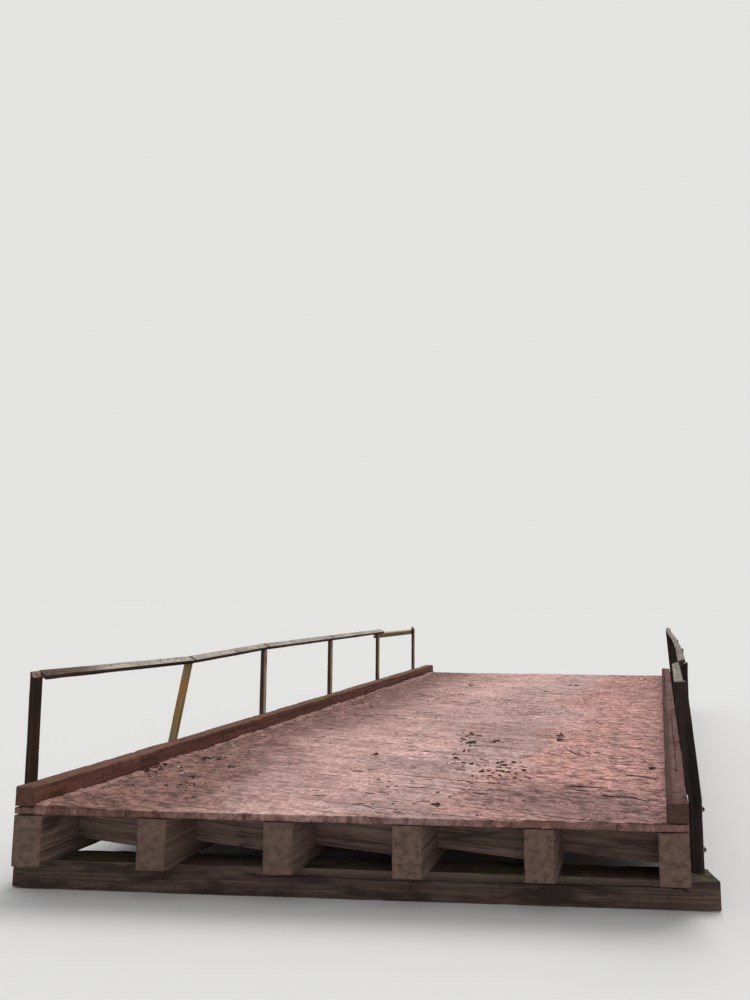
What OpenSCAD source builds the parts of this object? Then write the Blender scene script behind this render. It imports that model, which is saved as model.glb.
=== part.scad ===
// Old timber footbridge set askew over its stream. Six stringers lie on a sill along each
// bank and carry a plank deck. A squared curb timber runs along each side, and a handrail
// of sloping planks stands outside each curb on posts that have sagged and leaned.
// X runs across the bridge, Y along it and Z up, in millimetres. The origin is on the
// ground under the middle of the deck. Left is -X, and the near end is -Y.

/* [Deck] */
// Length of each side of the deck, along the bridge
deck_l = 9950; // [7500:50:14000]
// Width of the deck over the ends of its planks
deck_w = 4400; // [2600:20:6000]
// Thickness of a deck plank
plank_t = 50; // [30:1:80]
// Width of a deck plank
plank_w = 235; // [140:5:300]
// Gap between neighbouring deck planks
plank_gap = 8; // [3:1:20]
// Angle of the bridge's ends, from square across
skew = 17; // [0:1:25]

/* [Stringers and sills] */
// Width of a stringer
stringer_w = 200; // [100:5:260]
// Depth of a stringer
stringer_h = 350; // [200:5:450]
// Width of the sill that lies along each bank
sill_w = 250; // [150:5:400]
// Height of a sill
sill_h = 200; // [100:5:350]
// Length of sill that shows past the outer stringers
sill_past = 150; // [80:5:400]
// Distance of the sill's centre line from the end of the deck
bearing_inset = 300; // [220:5:800]
// Thickness of the blocking between stringers
block_t = 75; // [40:5:120]
// Depth of the blocking
block_h = 250; // [120:5:300]

/* [Curbs] */
// Width of a curb timber
curb_w = 140; // [80:2:200]
// Height of a curb timber
curb_h = 140; // [80:2:200]
// Distance of the left curb's splice from the near end
left_splice = 5300; // [3000:50:6500]
// Distance of the right curb's splice from the near end
right_splice = 4400; // [3000:50:6500]
// Length of the half lap at a splice
lap_l = 280; // [100:10:500]
// Open joint at each shoulder of a half lap
lap_gap = 3; // [1:0.5:8]
// Worn arris along each top edge of a curb
curb_arris = 12; // [3:1:30]

/* [Posts] */
// Width of a post along the bridge
post_w = 90; // [60:1:140]
// Thickness of a left post, across the bridge
left_post_t = 38; // [30:1:120]
// Thickness of a right post, across the bridge
right_post_t = 90; // [30:1:120]
// Distance from the near end of the deck to the first post's centre
first_post = 160; // [100:5:600]
// Each of the left handrail's two near bays
left_near_bay = 1700; // [1200:10:2200]
// Distance from the left handrail's last post to the deck's far end
left_last = 750; // [150:10:1200]
// The right handrail's first bay
right_near_bay = 2140; // [1200:10:2400]
// Distance from the right handrail's last post to the deck's far end
right_last = 200; // [150:10:1200]
// Height of a post's foot above the underside of the stringers
foot_up = 60; // [10:5:150]
// Angle at which the left handrail's second post leans along the bridge
post_lean = 17; // [0:1:24]
// Height of the left handrail's free post tops above the undersides of its planks
left_cap_rise = 25; // [10:1:60]
// Height of the right handrail's free post tops above the undersides of its planks
right_cap_rise = 46; // [10:1:60]
// Slope of the left handrail's free post tops
left_cap_tilt = 50; // [0:1:60]
// Slope of the right handrail's free post tops
right_cap_tilt = 5; // [0:1:40]

/* [Handrails] */
// Height of the seat of the handrail above the deck
rail_seat = 865; // [700:5:1000]
// Width of a left rail plank
left_rail_w = 89; // [60:1:150]
// Width of a right rail plank
right_rail_w = 64; // [50:1:110]
// Thickness of a rail plank
rail_t = 38; // [25:1:60]
// Slope of the rail planks, down towards the deck
rail_tilt = 24; // [0:1:40]
// Length of post top that the further of two rail planks bears on
rail_bearing = 20; // [12:1:40]
// Open joint between two rail planks
rail_gap = 5; // [2:1:12]
// Length that the left handrail's last sloping plank runs past its post
rail_past = 140; // [0:5:200]
// How far the right handrail's first plank has slid off its second post, towards the deck
rail_slip = 55; // [0:1:65]

/* [Hidden] */
STRINGERS = 6;
POSTS = 6;
DECK_BAYS = 6;

// How far each post's seat has dropped, from the near end
LEFT_DROP = [0, 38, 2, 0, 0, 20];
RIGHT_DROP = [0, 12, 4, 0, 6, 2];
// How far each post leans outwards at its seat, from the near end
LEFT_OUT = [10, 0, 0, 0, 0, 0];
RIGHT_OUT = [-60, 10, 23, 9, -26, -46];

// Levels of the structure
stringer_top = sill_h + stringer_h;
deck_top = stringer_top + plank_t;
curb_top = deck_top + curb_h;
seat_z = deck_top + rail_seat;
foot_z = sill_h + foot_up;

// Plan of the structure
side_x = deck_w / 2;
skew_run = deck_w * tan(skew);
stringer_pitch = (deck_w - stringer_w) / (STRINGERS - 1);
pitch = plank_w + plank_gap;
plank_rows = ceil((deck_l + skew_run) / pitch);
// The narrowest end plank that is worth laying
least_plank = plank_w / 5;
left_bay = (deck_l - first_post - left_last - 2 * left_near_bay) / (POSTS - 3);
right_bay = (deck_l - first_post - right_last - right_near_bay) / (POSTS - 2);
// A length past every face of the bridge, for cutting shapes
past = 2 * (deck_l + deck_w);

WEATHERED = [0.44, 0.34, 0.31];
DECK_BROWN = [0.62, 0.49, 0.46];
CURB_BROWN = [0.40, 0.24, 0.20];
POST_BROWN = [0.33, 0.21, 0.17];
POST_DARK = [0.17, 0.13, 0.12];
RAIL_GREY = [0.70, 0.67, 0.65];
RAIL_NEW = [0.56, 0.49, 0.30];

// The skewed near end of the deck at a place across the bridge, and the far end
function near_y(x) = -deck_l / 2 + x * tan(skew);
function far_y(x) = deck_l / 2 + x * tan(skew);

// The first row of planks in a bay of the deck
function first_row(bay) = round((bay - 1) * plank_rows / DECK_BAYS);

// Distance of a post's centre from the near end of the deck, on each side
function left_station(k) = first_post + min(k, 2) * left_near_bay + max(k - 2, 0) * left_bay;
function right_station(k) = first_post + (k > 0 ? right_near_bay + (k - 1) * right_bay : 0);

// What sets the two sides apart. The side is -1 on the left and 1 on the right.
function is_left(side) = side < 0;
function post_t(side) = is_left(side) ? left_post_t : right_post_t;
function post_out(side, k) = is_left(side) ? LEFT_OUT[k] : RIGHT_OUT[k];
function post_drop(side, k) = is_left(side) ? LEFT_DROP[k] : RIGHT_DROP[k];
function lean_along(side, k) = is_left(side) && k == 1 ? post_lean : 0;
function cap_tilt(side) = is_left(side) ? left_cap_tilt : right_cap_tilt;
function cap_rise(side) = is_left(side) ? left_cap_rise : right_cap_rise;
function rail_w(side) = is_left(side) ? left_rail_w : right_rail_w;
function station_y(side, k) =
    near_y(side * side_x) + (is_left(side) ? left_station(k) : right_station(k));
// The left handrail's last rail is a plank on edge, nailed outside its two posts
function is_edge_rail(side, k) = is_left(side) && k == POSTS - 2;

// Middle of a post's seat, with X counted outwards from the bridge's centre line
function seat(side, k) = [
    side_x + post_t(side) / 2 + post_out(side, k),
    station_y(side, k) + (seat_z - curb_top) * tan(lean_along(side, k)),
    seat_z - post_drop(side, k),
];
// Where rail k bears on the post at its near end, and on the post at its far end. It slides
// down the slope of its seat.
function near_bearing(side, k) = seat(side, k);
function far_bearing(side, k) =
    seat(side, k + 1) - (!is_left(side) && k == 0 ? rail_slip * [1, 0, tan(rail_tilt)] : [0, 0, 0]);
// Where one rail plank ends and the next begins, over a post
function joint_y(side, k) = seat(side, k).y + post_w / 2 - rail_bearing;
function carries_rail(side, k) = k > 0 && !is_edge_rail(side, k - 1);

// Shapes shared by several sub-parts

// Keeps the outlines that are drawn in X and Z, or in Y and Z, upright
module from_front(depth) rotate([90, 0, 0]) linear_extrude(depth, center = true) children();
module from_side(depth) rotate([90, 0, 90]) linear_extrude(depth, center = true) children();

// Mirrors what is drawn for the right side when it stands on the left
module on_side(side) mirror([is_left(side) ? 1 : 0, 0, 0]) children();

// Everything between two places along the bridge
module between(y0, y1) translate([-past / 2, y0, -past / 2]) cube([past, y1 - y0, past]);

// A timber laid along the bridge from one skewed end to the other
module long_timber(x0, x1, z0, h)
    translate([0, 0, z0])
        linear_extrude(h)
            polygon([[x0, near_y(x0)], [x1, near_y(x1)], [x1, far_y(x1)], [x0, far_y(x0)]]);

// Sets things on the line between the seats of two posts, with Y along the line
module along_rail(a, b) {
    run = norm([b.x - a.x, b.y - a.y]);
    translate(a)
        rotate([0, 0, -atan2(b.x - a.x, b.y - a.y)])
            rotate([atan2(b.z - a.z, run), 0, 0])
                rotate([0, -rail_tilt, 0])
                    children();
}

// Sills and stringers

module sill(end) {
    color(WEATHERED)
        translate([0, end * (deck_l / 2 - bearing_inset), sill_h / 2])
            rotate([0, 0, skew])
                cube([(deck_w + 2 * sill_past) / cos(skew), sill_w, sill_h], center = true);
}

function stringer_x(i) = -side_x + (i - 1) * stringer_pitch;

module stringer(i) {
    color(WEATHERED)
        long_timber(stringer_x(i), stringer_x(i) + stringer_w, sill_h, stringer_h);
}

// One row of blocks between the stringers, stepped along the skew. The place is -1 at the
// near sill, 0 at mid span and 1 at the far sill.
module blocking(place) {
    clear_w = stringer_pitch - stringer_w;
    color(WEATHERED)
        for (i = [1 : STRINGERS - 1]) {
            x = stringer_x(i) + stringer_w + clear_w / 2;
            y = place * (deck_l / 2 - bearing_inset) + x * tan(skew);
            translate([x, y, stringer_top - block_h / 2])
                cube([clear_w, block_t, block_h], center = true);
        }
}

// Deck

module deck_outline()
    polygon([
        [-side_x, near_y(-side_x)],
        [side_x, near_y(side_x)],
        [side_x, far_y(side_x)],
        [-side_x, far_y(-side_x)],
    ]);

// One row of the deck, cut off along the skewed ends
module plank(row) {
    y = near_y(-side_x) + row * pitch;
    laid = min(y + plank_w, far_y(side_x)) - y;
    if (laid > least_plank)
        translate([0, 0, stringer_top])
            linear_extrude(plank_t)
                intersection() {
                    deck_outline();
                    translate([-side_x, y]) square([deck_w, laid]);
                }
}

module deck_bay(i) {
    color(DECK_BROWN)
        for (row = [first_row(i) : first_row(i + 1) - 1]) plank(row);
}

// Curbs

// The section of a curb, from its face on the left, with its top arrises worn off
module curb_section()
    polygon([
        [0, 0],
        [curb_w, 0],
        [curb_w, curb_h - curb_arris],
        [curb_w - curb_arris, curb_h],
        [curb_arris, curb_h],
        [0, curb_h - curb_arris],
    ]);

// A curb timber of one side, from an end of the deck to the half lap of its splice. The
// near timber has the lower half of the lap, and the far timber the upper half.
module curb(side, is_near) {
    splice_y = near_y(side * side_x) + (is_left(side) ? left_splice : right_splice);
    middle = curb_h / 2;
    shoulder = lap_gap / 2;
    lap_near = splice_y - lap_l / 2;
    lap_far = splice_y + lap_l / 2;
    color(CURB_BROWN)
        intersection() {
            long_timber(-side_x, side_x, deck_top, curb_h);
            translate([is_left(side) ? -side_x : side_x - curb_w, 0, deck_top])
                from_front(past) curb_section();
            translate([0, 0, deck_top])
                from_side(past)
                    if (is_near)
                        polygon([
                            [-past / 2, 0],
                            [lap_far - shoulder, 0],
                            [lap_far - shoulder, middle],
                            [lap_near - shoulder, middle],
                            [lap_near - shoulder, curb_h],
                            [-past / 2, curb_h],
                        ]);
                    else
                        polygon([
                            [past / 2, 0],
                            [lap_far + shoulder, 0],
                            [lap_far + shoulder, middle],
                            [lap_near + shoulder, middle],
                            [lap_near + shoulder, curb_h],
                            [past / 2, curb_h],
                        ]);
        }
}

// Posts

// A post before its top is cut. Its foot is upright against the stringer, the deck and the
// curb. Above the curb it leans in or out, and all of it may lean along the bridge.
module post_blank(side, k) {
    t = post_t(side);
    y = station_y(side, k);
    slope = tan(lean_along(side, k));
    half_w = post_w / 2 / cos(lean_along(side, k));
    // Heights above the curb's top, where the lean starts
    head = seat_z - curb_top + 2 * rail_w(side) + t;
    foot = foot_z - curb_top;
    out = post_out(side, k) / (seat_z - curb_top) * head;
    translate([0, 0, curb_top])
        intersection() {
            from_front(past)
                polygon([
                    [side_x, foot],
                    [side_x + t, foot],
                    [side_x + t, 0],
                    [side_x + t + out, head],
                    [side_x + out, head],
                    [side_x, 0],
                ]);
            from_side(past)
                polygon([
                    [y + foot * slope - half_w, foot],
                    [y + foot * slope + half_w, foot],
                    [y + head * slope + half_w, head],
                    [y + head * slope - half_w, head],
                ]);
        }
}

// Everything above the underside of the rail plank that leaves post k
module above_rail(side, k) {
    along_rail(near_bearing(side, k), far_bearing(side, k))
        translate([-past / 4, -past / 4, 0]) cube([past / 2, past / 2, past / 2]);
}

// The seat is cut along the undersides of the planks that meet on it. A free post top is
// about level with the top of the planks, and slopes towards the deck.
module post(side, k) {
    color(is_left(side) ? POST_BROWN : POST_DARK)
        on_side(side)
            difference() {
                post_blank(side, k);
                if (!carries_rail(side, k))
                    translate(seat(side, k) + [0, 0, cap_rise(side)])
                        rotate([0, -cap_tilt(side), 0])
                            translate([-past / 4, -past / 4, 0])
                                cube([past / 2, past / 2, past / 2]);
                else if (k == POSTS - 1 || is_edge_rail(side, k))
                    above_rail(side, k - 1);
                else {
                    intersection() {
                        above_rail(side, k - 1);
                        between(-past / 2, joint_y(side, k) + rail_gap / 2);
                    }
                    intersection() {
                        above_rail(side, k);
                        between(joint_y(side, k) - rail_gap / 2, past / 2);
                    }
                }
            }
}

// Handrails

// A sloping plank from post k to the next. The first one butts against its post.
module sloping_rail(side, k) {
    a = near_bearing(side, k);
    b = far_bearing(side, k);
    w = rail_w(side);
    post_far = b.y + post_w / 2;
    y0 = k == 0 ? a.y + post_w / 2 : joint_y(side, k) + rail_gap / 2;
    y1 = k + 1 == POSTS - 1 ? post_far
        : is_edge_rail(side, k + 1) ? post_far + rail_past
        : joint_y(side, k + 1) - rail_gap / 2;
    intersection() {
        along_rail(a, b)
            translate([-w / 2, -post_w, 0])
                cube([w, norm(b - a) + 2 * post_w + rail_past, rail_t]);
        between(y0, y1);
    }
}

// A plank on edge, flat against the outer faces of two posts. It starts just below the
// sloping plank before it and runs down to the seat of its far post.
module edge_rail(side, k) {
    a = seat(side, k);
    b = seat(side, k + 1);
    y0 = a.y - post_w / 2;
    y1 = b.y + post_w / 2;
    z0 = a.z + post_t(side) / 2 * tan(rail_tilt) - rail_gap;
    translate([side_x + post_t(side), 0, 0])
        rotate([90, 0, 90])
            linear_extrude(rail_t)
                polygon([[y0, z0 - rail_w(side)], [y1, b.z - rail_w(side)], [y1, b.z], [y0, z0]]);
}

module rail(side, k) {
    color(is_edge_rail(side, k) ? RAIL_NEW : RAIL_GREY)
        on_side(side)
            if (is_edge_rail(side, k)) edge_rail(side, k);
            else sloping_rail(side, k);
}

sill(-1);  // sill_near
sill(1);  // sill_far
for (i = [1 : STRINGERS])
    stringer(i);
blocking(-1);  // blocking_near
blocking(0);  // blocking_mid
blocking(1);  // blocking_far
for (i = [1 : DECK_BAYS])
    deck_bay(i);
curb(-1, true);  // left_curb_near
curb(-1, false);  // left_curb_far
curb(1, true);  // right_curb_near
curb(1, false);  // right_curb_far
for (i = [1 : POSTS]) {
    post(-1, i - 1);
    post(1, i - 1);
}
for (i = [1 : POSTS - 1]) {
    rail(-1, i - 1);
    rail(1, i - 1);
}
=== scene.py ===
"""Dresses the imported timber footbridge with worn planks, rotten curbs and lichened handrails.

All lengths are in metres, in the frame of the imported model: X across the bridge, Y along it and
Z up. Each dressed timber runs between the cut ends of its own solid in that model.
"""
import logging
import math
from collections.abc import Callable, Sequence
from dataclasses import dataclass, field
from enum import Enum
from functools import partial, reduce

import bmesh
import bpy
import numpy as np
from mathutils import Matrix, Vector
from mathutils.bvhtree import BVHTree


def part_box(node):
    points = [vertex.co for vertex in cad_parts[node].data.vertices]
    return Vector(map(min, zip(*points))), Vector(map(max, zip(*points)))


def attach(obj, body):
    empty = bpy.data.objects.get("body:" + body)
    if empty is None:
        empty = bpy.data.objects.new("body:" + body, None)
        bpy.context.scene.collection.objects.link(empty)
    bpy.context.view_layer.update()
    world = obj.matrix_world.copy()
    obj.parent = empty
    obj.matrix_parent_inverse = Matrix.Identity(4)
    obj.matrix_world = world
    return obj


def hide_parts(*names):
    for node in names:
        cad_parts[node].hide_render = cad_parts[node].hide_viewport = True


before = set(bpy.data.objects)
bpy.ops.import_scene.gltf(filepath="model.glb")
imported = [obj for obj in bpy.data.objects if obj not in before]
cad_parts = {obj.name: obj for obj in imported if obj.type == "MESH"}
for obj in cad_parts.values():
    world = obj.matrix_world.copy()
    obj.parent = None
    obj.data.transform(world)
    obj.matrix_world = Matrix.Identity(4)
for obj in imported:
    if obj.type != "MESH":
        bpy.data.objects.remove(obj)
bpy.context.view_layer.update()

BODY = "root"

log = logging.getLogger("footbridge")

Colour = tuple[float, float, float, float]
Array = np.ndarray
Socket = bpy.types.NodeSocket
Material = bpy.types.Material
# Gives an amount from 0 to 1 at each of the bridge's points, which come one row each
Amount = Callable[[Array], Array]

# Directions of the bridge
ACROSS, ALONG, UP = (1, 0, 0), (0, 1, 0), (0, 0, 1)


def srgb(red: int, green: int, blue: int) -> Colour:
    """Turns a colour given as eight-bit sRGB into linear light.

    Args:
        red, green, blue: The three channels, from 0 to 255.

    Returns:
        The colour in linear light, opaque.
    """
    shares = [c / 255 for c in (red, green, blue)]
    linear = [s / 12.92 if s <= 0.04045 else ((s + 0.055) / 1.055) ** 2.4 for s in shares]
    return (*linear, 1.0)


def ease(value: Array, low: float, high: float) -> Array:
    """Rises smoothly from 0 at low to 1 at high.

    Args:
        value: The numbers to ease.
        low: Where the rise starts.
        high: Where it ends, which may be below low.

    Returns:
        Numbers between 0 and 1.
    """
    share = np.clip((value - low) / (high - low), 0.0, 1.0)
    return share * share * (3.0 - 2.0 * share)


class Noise:
    """Smooth random values from -1 to 1, the same for the same seed."""

    # Cells along each side of the lattice, after which it repeats
    SIZE = 256
    # How far each finer layer is moved, how much weaker it is, and what the sum is scaled by
    SHIFT, FADE, SPREAD = 17.3, 0.55, 1.6

    def __init__(self, seed: int) -> None:
        """Fills the lattice of random values."""
        self.table = np.random.default_rng(seed).uniform(-1.0, 1.0, (self.SIZE, self.SIZE))

    def at(self, u: Array, v: Array) -> Array:
        """Reads the noise at places on its plane.

        Args:
            u, v: Places in lattice cells, arrays of one shape.

        Returns:
            The noise there.
        """
        u, v = np.broadcast_arrays(np.asarray(u, float), np.asarray(v, float))
        iu, iv = np.floor(u).astype(int), np.floor(v).astype(int)
        fu, fv = ease(u - iu, 0.0, 1.0), ease(v - iv, 0.0, 1.0)
        last = self.SIZE - 1
        iu, ju, iv, jv = iu & last, iu + 1 & last, iv & last, iv + 1 & last
        low = self.table[iu, iv] * (1 - fu) + self.table[ju, iv] * fu
        high = self.table[iu, jv] * (1 - fu) + self.table[ju, jv] * fu
        return low * (1 - fv) + high * fv

    def layered(self, u: Array, v: Array, octaves: int = 4) -> Array:
        """Adds finer and weaker copies of the noise to itself.

        Args:
            u, v: Places in lattice cells of the broadest layer.
            octaves: How many layers there are.

        Returns:
            The sum, scaled back to about -1 to 1.
        """
        total, weight, reach = 0.0, 1.0, 0.0
        for layer in range(octaves):
            shift = self.SHIFT * layer
            total = total + weight * self.at(u * 2**layer + shift, v * 2**layer - shift)
            reach += weight
            weight *= self.FADE
        return total * self.SPREAD / reach


@dataclass(frozen=True)
class Solid:
    """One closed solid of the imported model.

    Attributes:
        points: Its corners, one row each.
        faces: The corners of each face.
    """

    points: Array
    faces: tuple[tuple[int, ...], ...]

    def centre_at(self, height: float) -> Array:
        """Finds the middle of the solid's outline at a height.

        Args:
            height: Height of the level cut.

        Returns:
            The X and Y of the middle.
        """
        found = []
        for face in self.faces:
            for start, end in zip(face, face[1:] + face[:1]):
                a, b = self.points[start], self.points[end]
                if (a[2] - height) * (b[2] - height) < 0:
                    found.append(a + (b - a) * (height - a[2]) / (b[2] - a[2]))
        rows = np.array(found)
        return (rows.min(0) + rows.max(0))[:2] / 2


def solids_of(node: str) -> list[Solid]:
    """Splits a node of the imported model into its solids.

    Args:
        node: The node's name.

    Returns:
        Its solids, in order of their place across and along the bridge.
    """
    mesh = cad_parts[node].data
    flat = np.empty(len(mesh.vertices) * 3)
    mesh.vertices.foreach_get("co", flat)
    points, index = np.unique(np.round(flat.reshape(-1, 3), 5), axis=0, return_inverse=True)
    index = index.reshape(-1)
    faces = [tuple(int(index[v]) for v in face.vertices) for face in mesh.polygons]
    group = list(range(len(points)))

    def root(point: int) -> int:
        """Follows the links to the point that stands for a group.

        Args:
            point: Any point of the group.

        Returns:
            The point that stands for it.
        """
        while group[point] != point:
            point = group[point]
        return point

    for face in faces:
        for corner in face[1:]:
            group[root(corner)] = root(face[0])
    solids = []
    for first in sorted({root(point) for point in range(len(points))}):
        members = [p for p in range(len(points)) if root(p) == first]
        place = {p: i for i, p in enumerate(members)}
        own = tuple(tuple(place[c] for c in face) for face in faces if face[0] in place)
        solids.append(Solid(points[members], own))
    return sorted(solids, key=lambda solid: tuple(solid.points.mean(0)[:2]))


@dataclass(frozen=True)
class Plan:
    """The plan of the deck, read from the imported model.

    Attributes:
        left, right: The deck's sides.
        inner_left, inner_right: The curbs' faces towards the walkway.
        near_left: The near end of the deck's left side.
        slope: How far the ends run along the bridge for each metre across it.
        length: Length of each side.
        top: Level of the deck.
        curb_top: Level of the curbs' tops.
    """

    left: float
    right: float
    inner_left: float
    inner_right: float
    near_left: float
    slope: float
    length: float
    top: float
    curb_top: float

    @classmethod
    def read(cls) -> "Plan":
        """Measures the curbs.

        Returns:
            The plan.
        """
        left_low, left_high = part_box("left_curb_near")
        right_low, right_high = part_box("right_curb_near")
        slope = (right_low.y - left_low.y) / (right_low.x - left_low.x)
        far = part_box("right_curb_far")[1]
        near_right = left_low.y + slope * (right_high.x - left_low.x)
        return cls(left_low.x, right_high.x, left_high.x, right_low.x, left_low.y, slope,
                   far.y - near_right, left_low.z, left_high.z)

    def near(self, x: Array) -> Array:
        """Gives the near end of the deck at a place across it."""
        return self.near_left + self.slope * (x - self.left)


@dataclass(frozen=True)
class Lean:
    """How a post leans away from upright.

    Attributes:
        kink: Height above which it leans across the bridge.
        across: How far it leans across the bridge for each metre up.
        along: How far it leans along the bridge for each metre up, from foot to top.
    """

    # Heights over the kink of the two cuts between which a lean is measured
    CUTS = (0.02, 0.60)

    kink: float = 0.0
    across: float = 0.0
    along: float = 0.0

    @classmethod
    def of_post(cls, solid: Solid, kink: float) -> "Lean":
        """Measures how a post leans.

        Args:
            solid: The post.
            kink: Height above which it may lean across the bridge.

        Returns:
            The lean, measured between two cuts above the kink.
        """
        low, high = (kink + cut for cut in cls.CUTS)
        run = (solid.centre_at(high) - solid.centre_at(low)) / (high - low)
        return cls(kink, float(run[0]), float(run[1]))

    def shift(self, height: Array) -> Array:
        """Works out how far the lean carries points.

        Args:
            height: The points' heights.

        Returns:
            How far it carries each, one row a point.
        """
        rise = height - self.kink
        sideways = self.across * np.maximum(rise, 0.0)
        return np.stack([sideways, self.along * rise, np.zeros_like(rise)], axis=-1)


@dataclass(frozen=True)
class Wear:
    """How finely a timber's skin is cut, and how worn it is.

    Attributes:
        step: Distance between cuts along the grain.
        wide, narrow: Strips over each face that lies across, and over each that stands up.
        arris: Usual radius that is worn on the long edges.
        fibre: Depth of the furrows between fibres.
        dents: Depth of broad hollows.
        rot: Depth that rot has taken from the upper part.
        checks: How many long drying splits are cut into the skin.
        check_depth, check_width: Depth and half width of a split.
        end_loss: How much of the arris is worn off at the cut ends.
    """

    step: float
    wide: int
    narrow: int
    arris: float
    fibre: float = 0.0008
    dents: float = 0.0015
    rot: float = 0.0
    checks: int = 0
    check_depth: float = 0.007
    check_width: float = 0.0016
    end_loss: float = 0.002


@dataclass
class Skin:
    """Points and faces that become one mesh, with what its finish reads from them."""

    # Points this close to each other are welded
    WELD = 2e-5

    points: list[Array] = field(default_factory=list)
    faces: list[list[int]] = field(default_factory=list)
    grain: list[Array] = field(default_factory=list)
    marks: list[Array] = field(default_factory=list)
    ends: list[float] = field(default_factory=list)
    count: int = 0

    def add(self, points: Array, faces: Array | Sequence, grain: Array | None = None,
            marks: Array | None = None, end: float = 0.0) -> None:
        """Adds a patch.

        Args:
            points: Its points, one row each.
            faces: The corners of each face, counted from the patch's first point.
            grain: Where each point lies in its timber, across, up and along the grain.
            marks: Each point's tone, worn edge, open split and growth, which on some timbers is a
                painted highlight.
            end: 1 where the patch is cut across the grain.
        """
        self.points.append(points)
        rows = faces.tolist() if isinstance(faces, np.ndarray) else faces
        self.faces.extend([corner + self.count for corner in row] for row in rows)
        self.grain.append(points if grain is None else grain)
        self.marks.append(np.zeros((len(points), 4)) if marks is None else marks)
        self.ends.extend([end] * len(rows))
        self.count += len(points)

    def make(self, name: str, material: Material, slot: str | None = None,
             nodes: Sequence[str] = (), crease: float = 40.0) -> bpy.types.Object:
        """Makes the mesh object and hangs it on the bridge.

        Args:
            name: The piece's name.
            material: Its finish.
            slot: The slot that the finish stands for; it is not used.
            nodes: The nodes that the piece stands for.
            crease: Angle in degrees above which an edge is shaded sharp.

        Returns:
            The object.
        """
        mesh = bpy.data.meshes.new(name)
        mesh.from_pydata(np.concatenate(self.points), [], self.faces)
        for key, kind, domain, value, rows in (
                ("grain", "FLOAT_VECTOR", "POINT", "vector", np.concatenate(self.grain)),
                ("marks", "FLOAT_COLOR", "POINT", "color", np.concatenate(self.marks)),
                ("cut_end", "FLOAT", "FACE", "value", np.array(self.ends))):
            data = mesh.attributes.new(key, kind, domain).data
            data.foreach_set(value, rows.astype(np.float32).ravel())
        work = bmesh.new()
        work.from_mesh(mesh)
        bmesh.ops.remove_doubles(work, verts=work.verts, dist=self.WELD)
        work.to_mesh(mesh)
        work.free()
        mesh.polygons.foreach_set("use_smooth", np.ones(len(mesh.polygons), bool))
        mesh.set_sharp_from_angle(angle=math.radians(crease))
        mesh.materials.append(material)
        piece = bpy.data.objects.new(name, mesh)
        bpy.context.scene.collection.objects.link(piece)
        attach(piece, BODY)
        if nodes:
            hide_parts(*nodes)
        log.info("%s: %d faces", name, len(mesh.polygons))
        return piece


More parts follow.
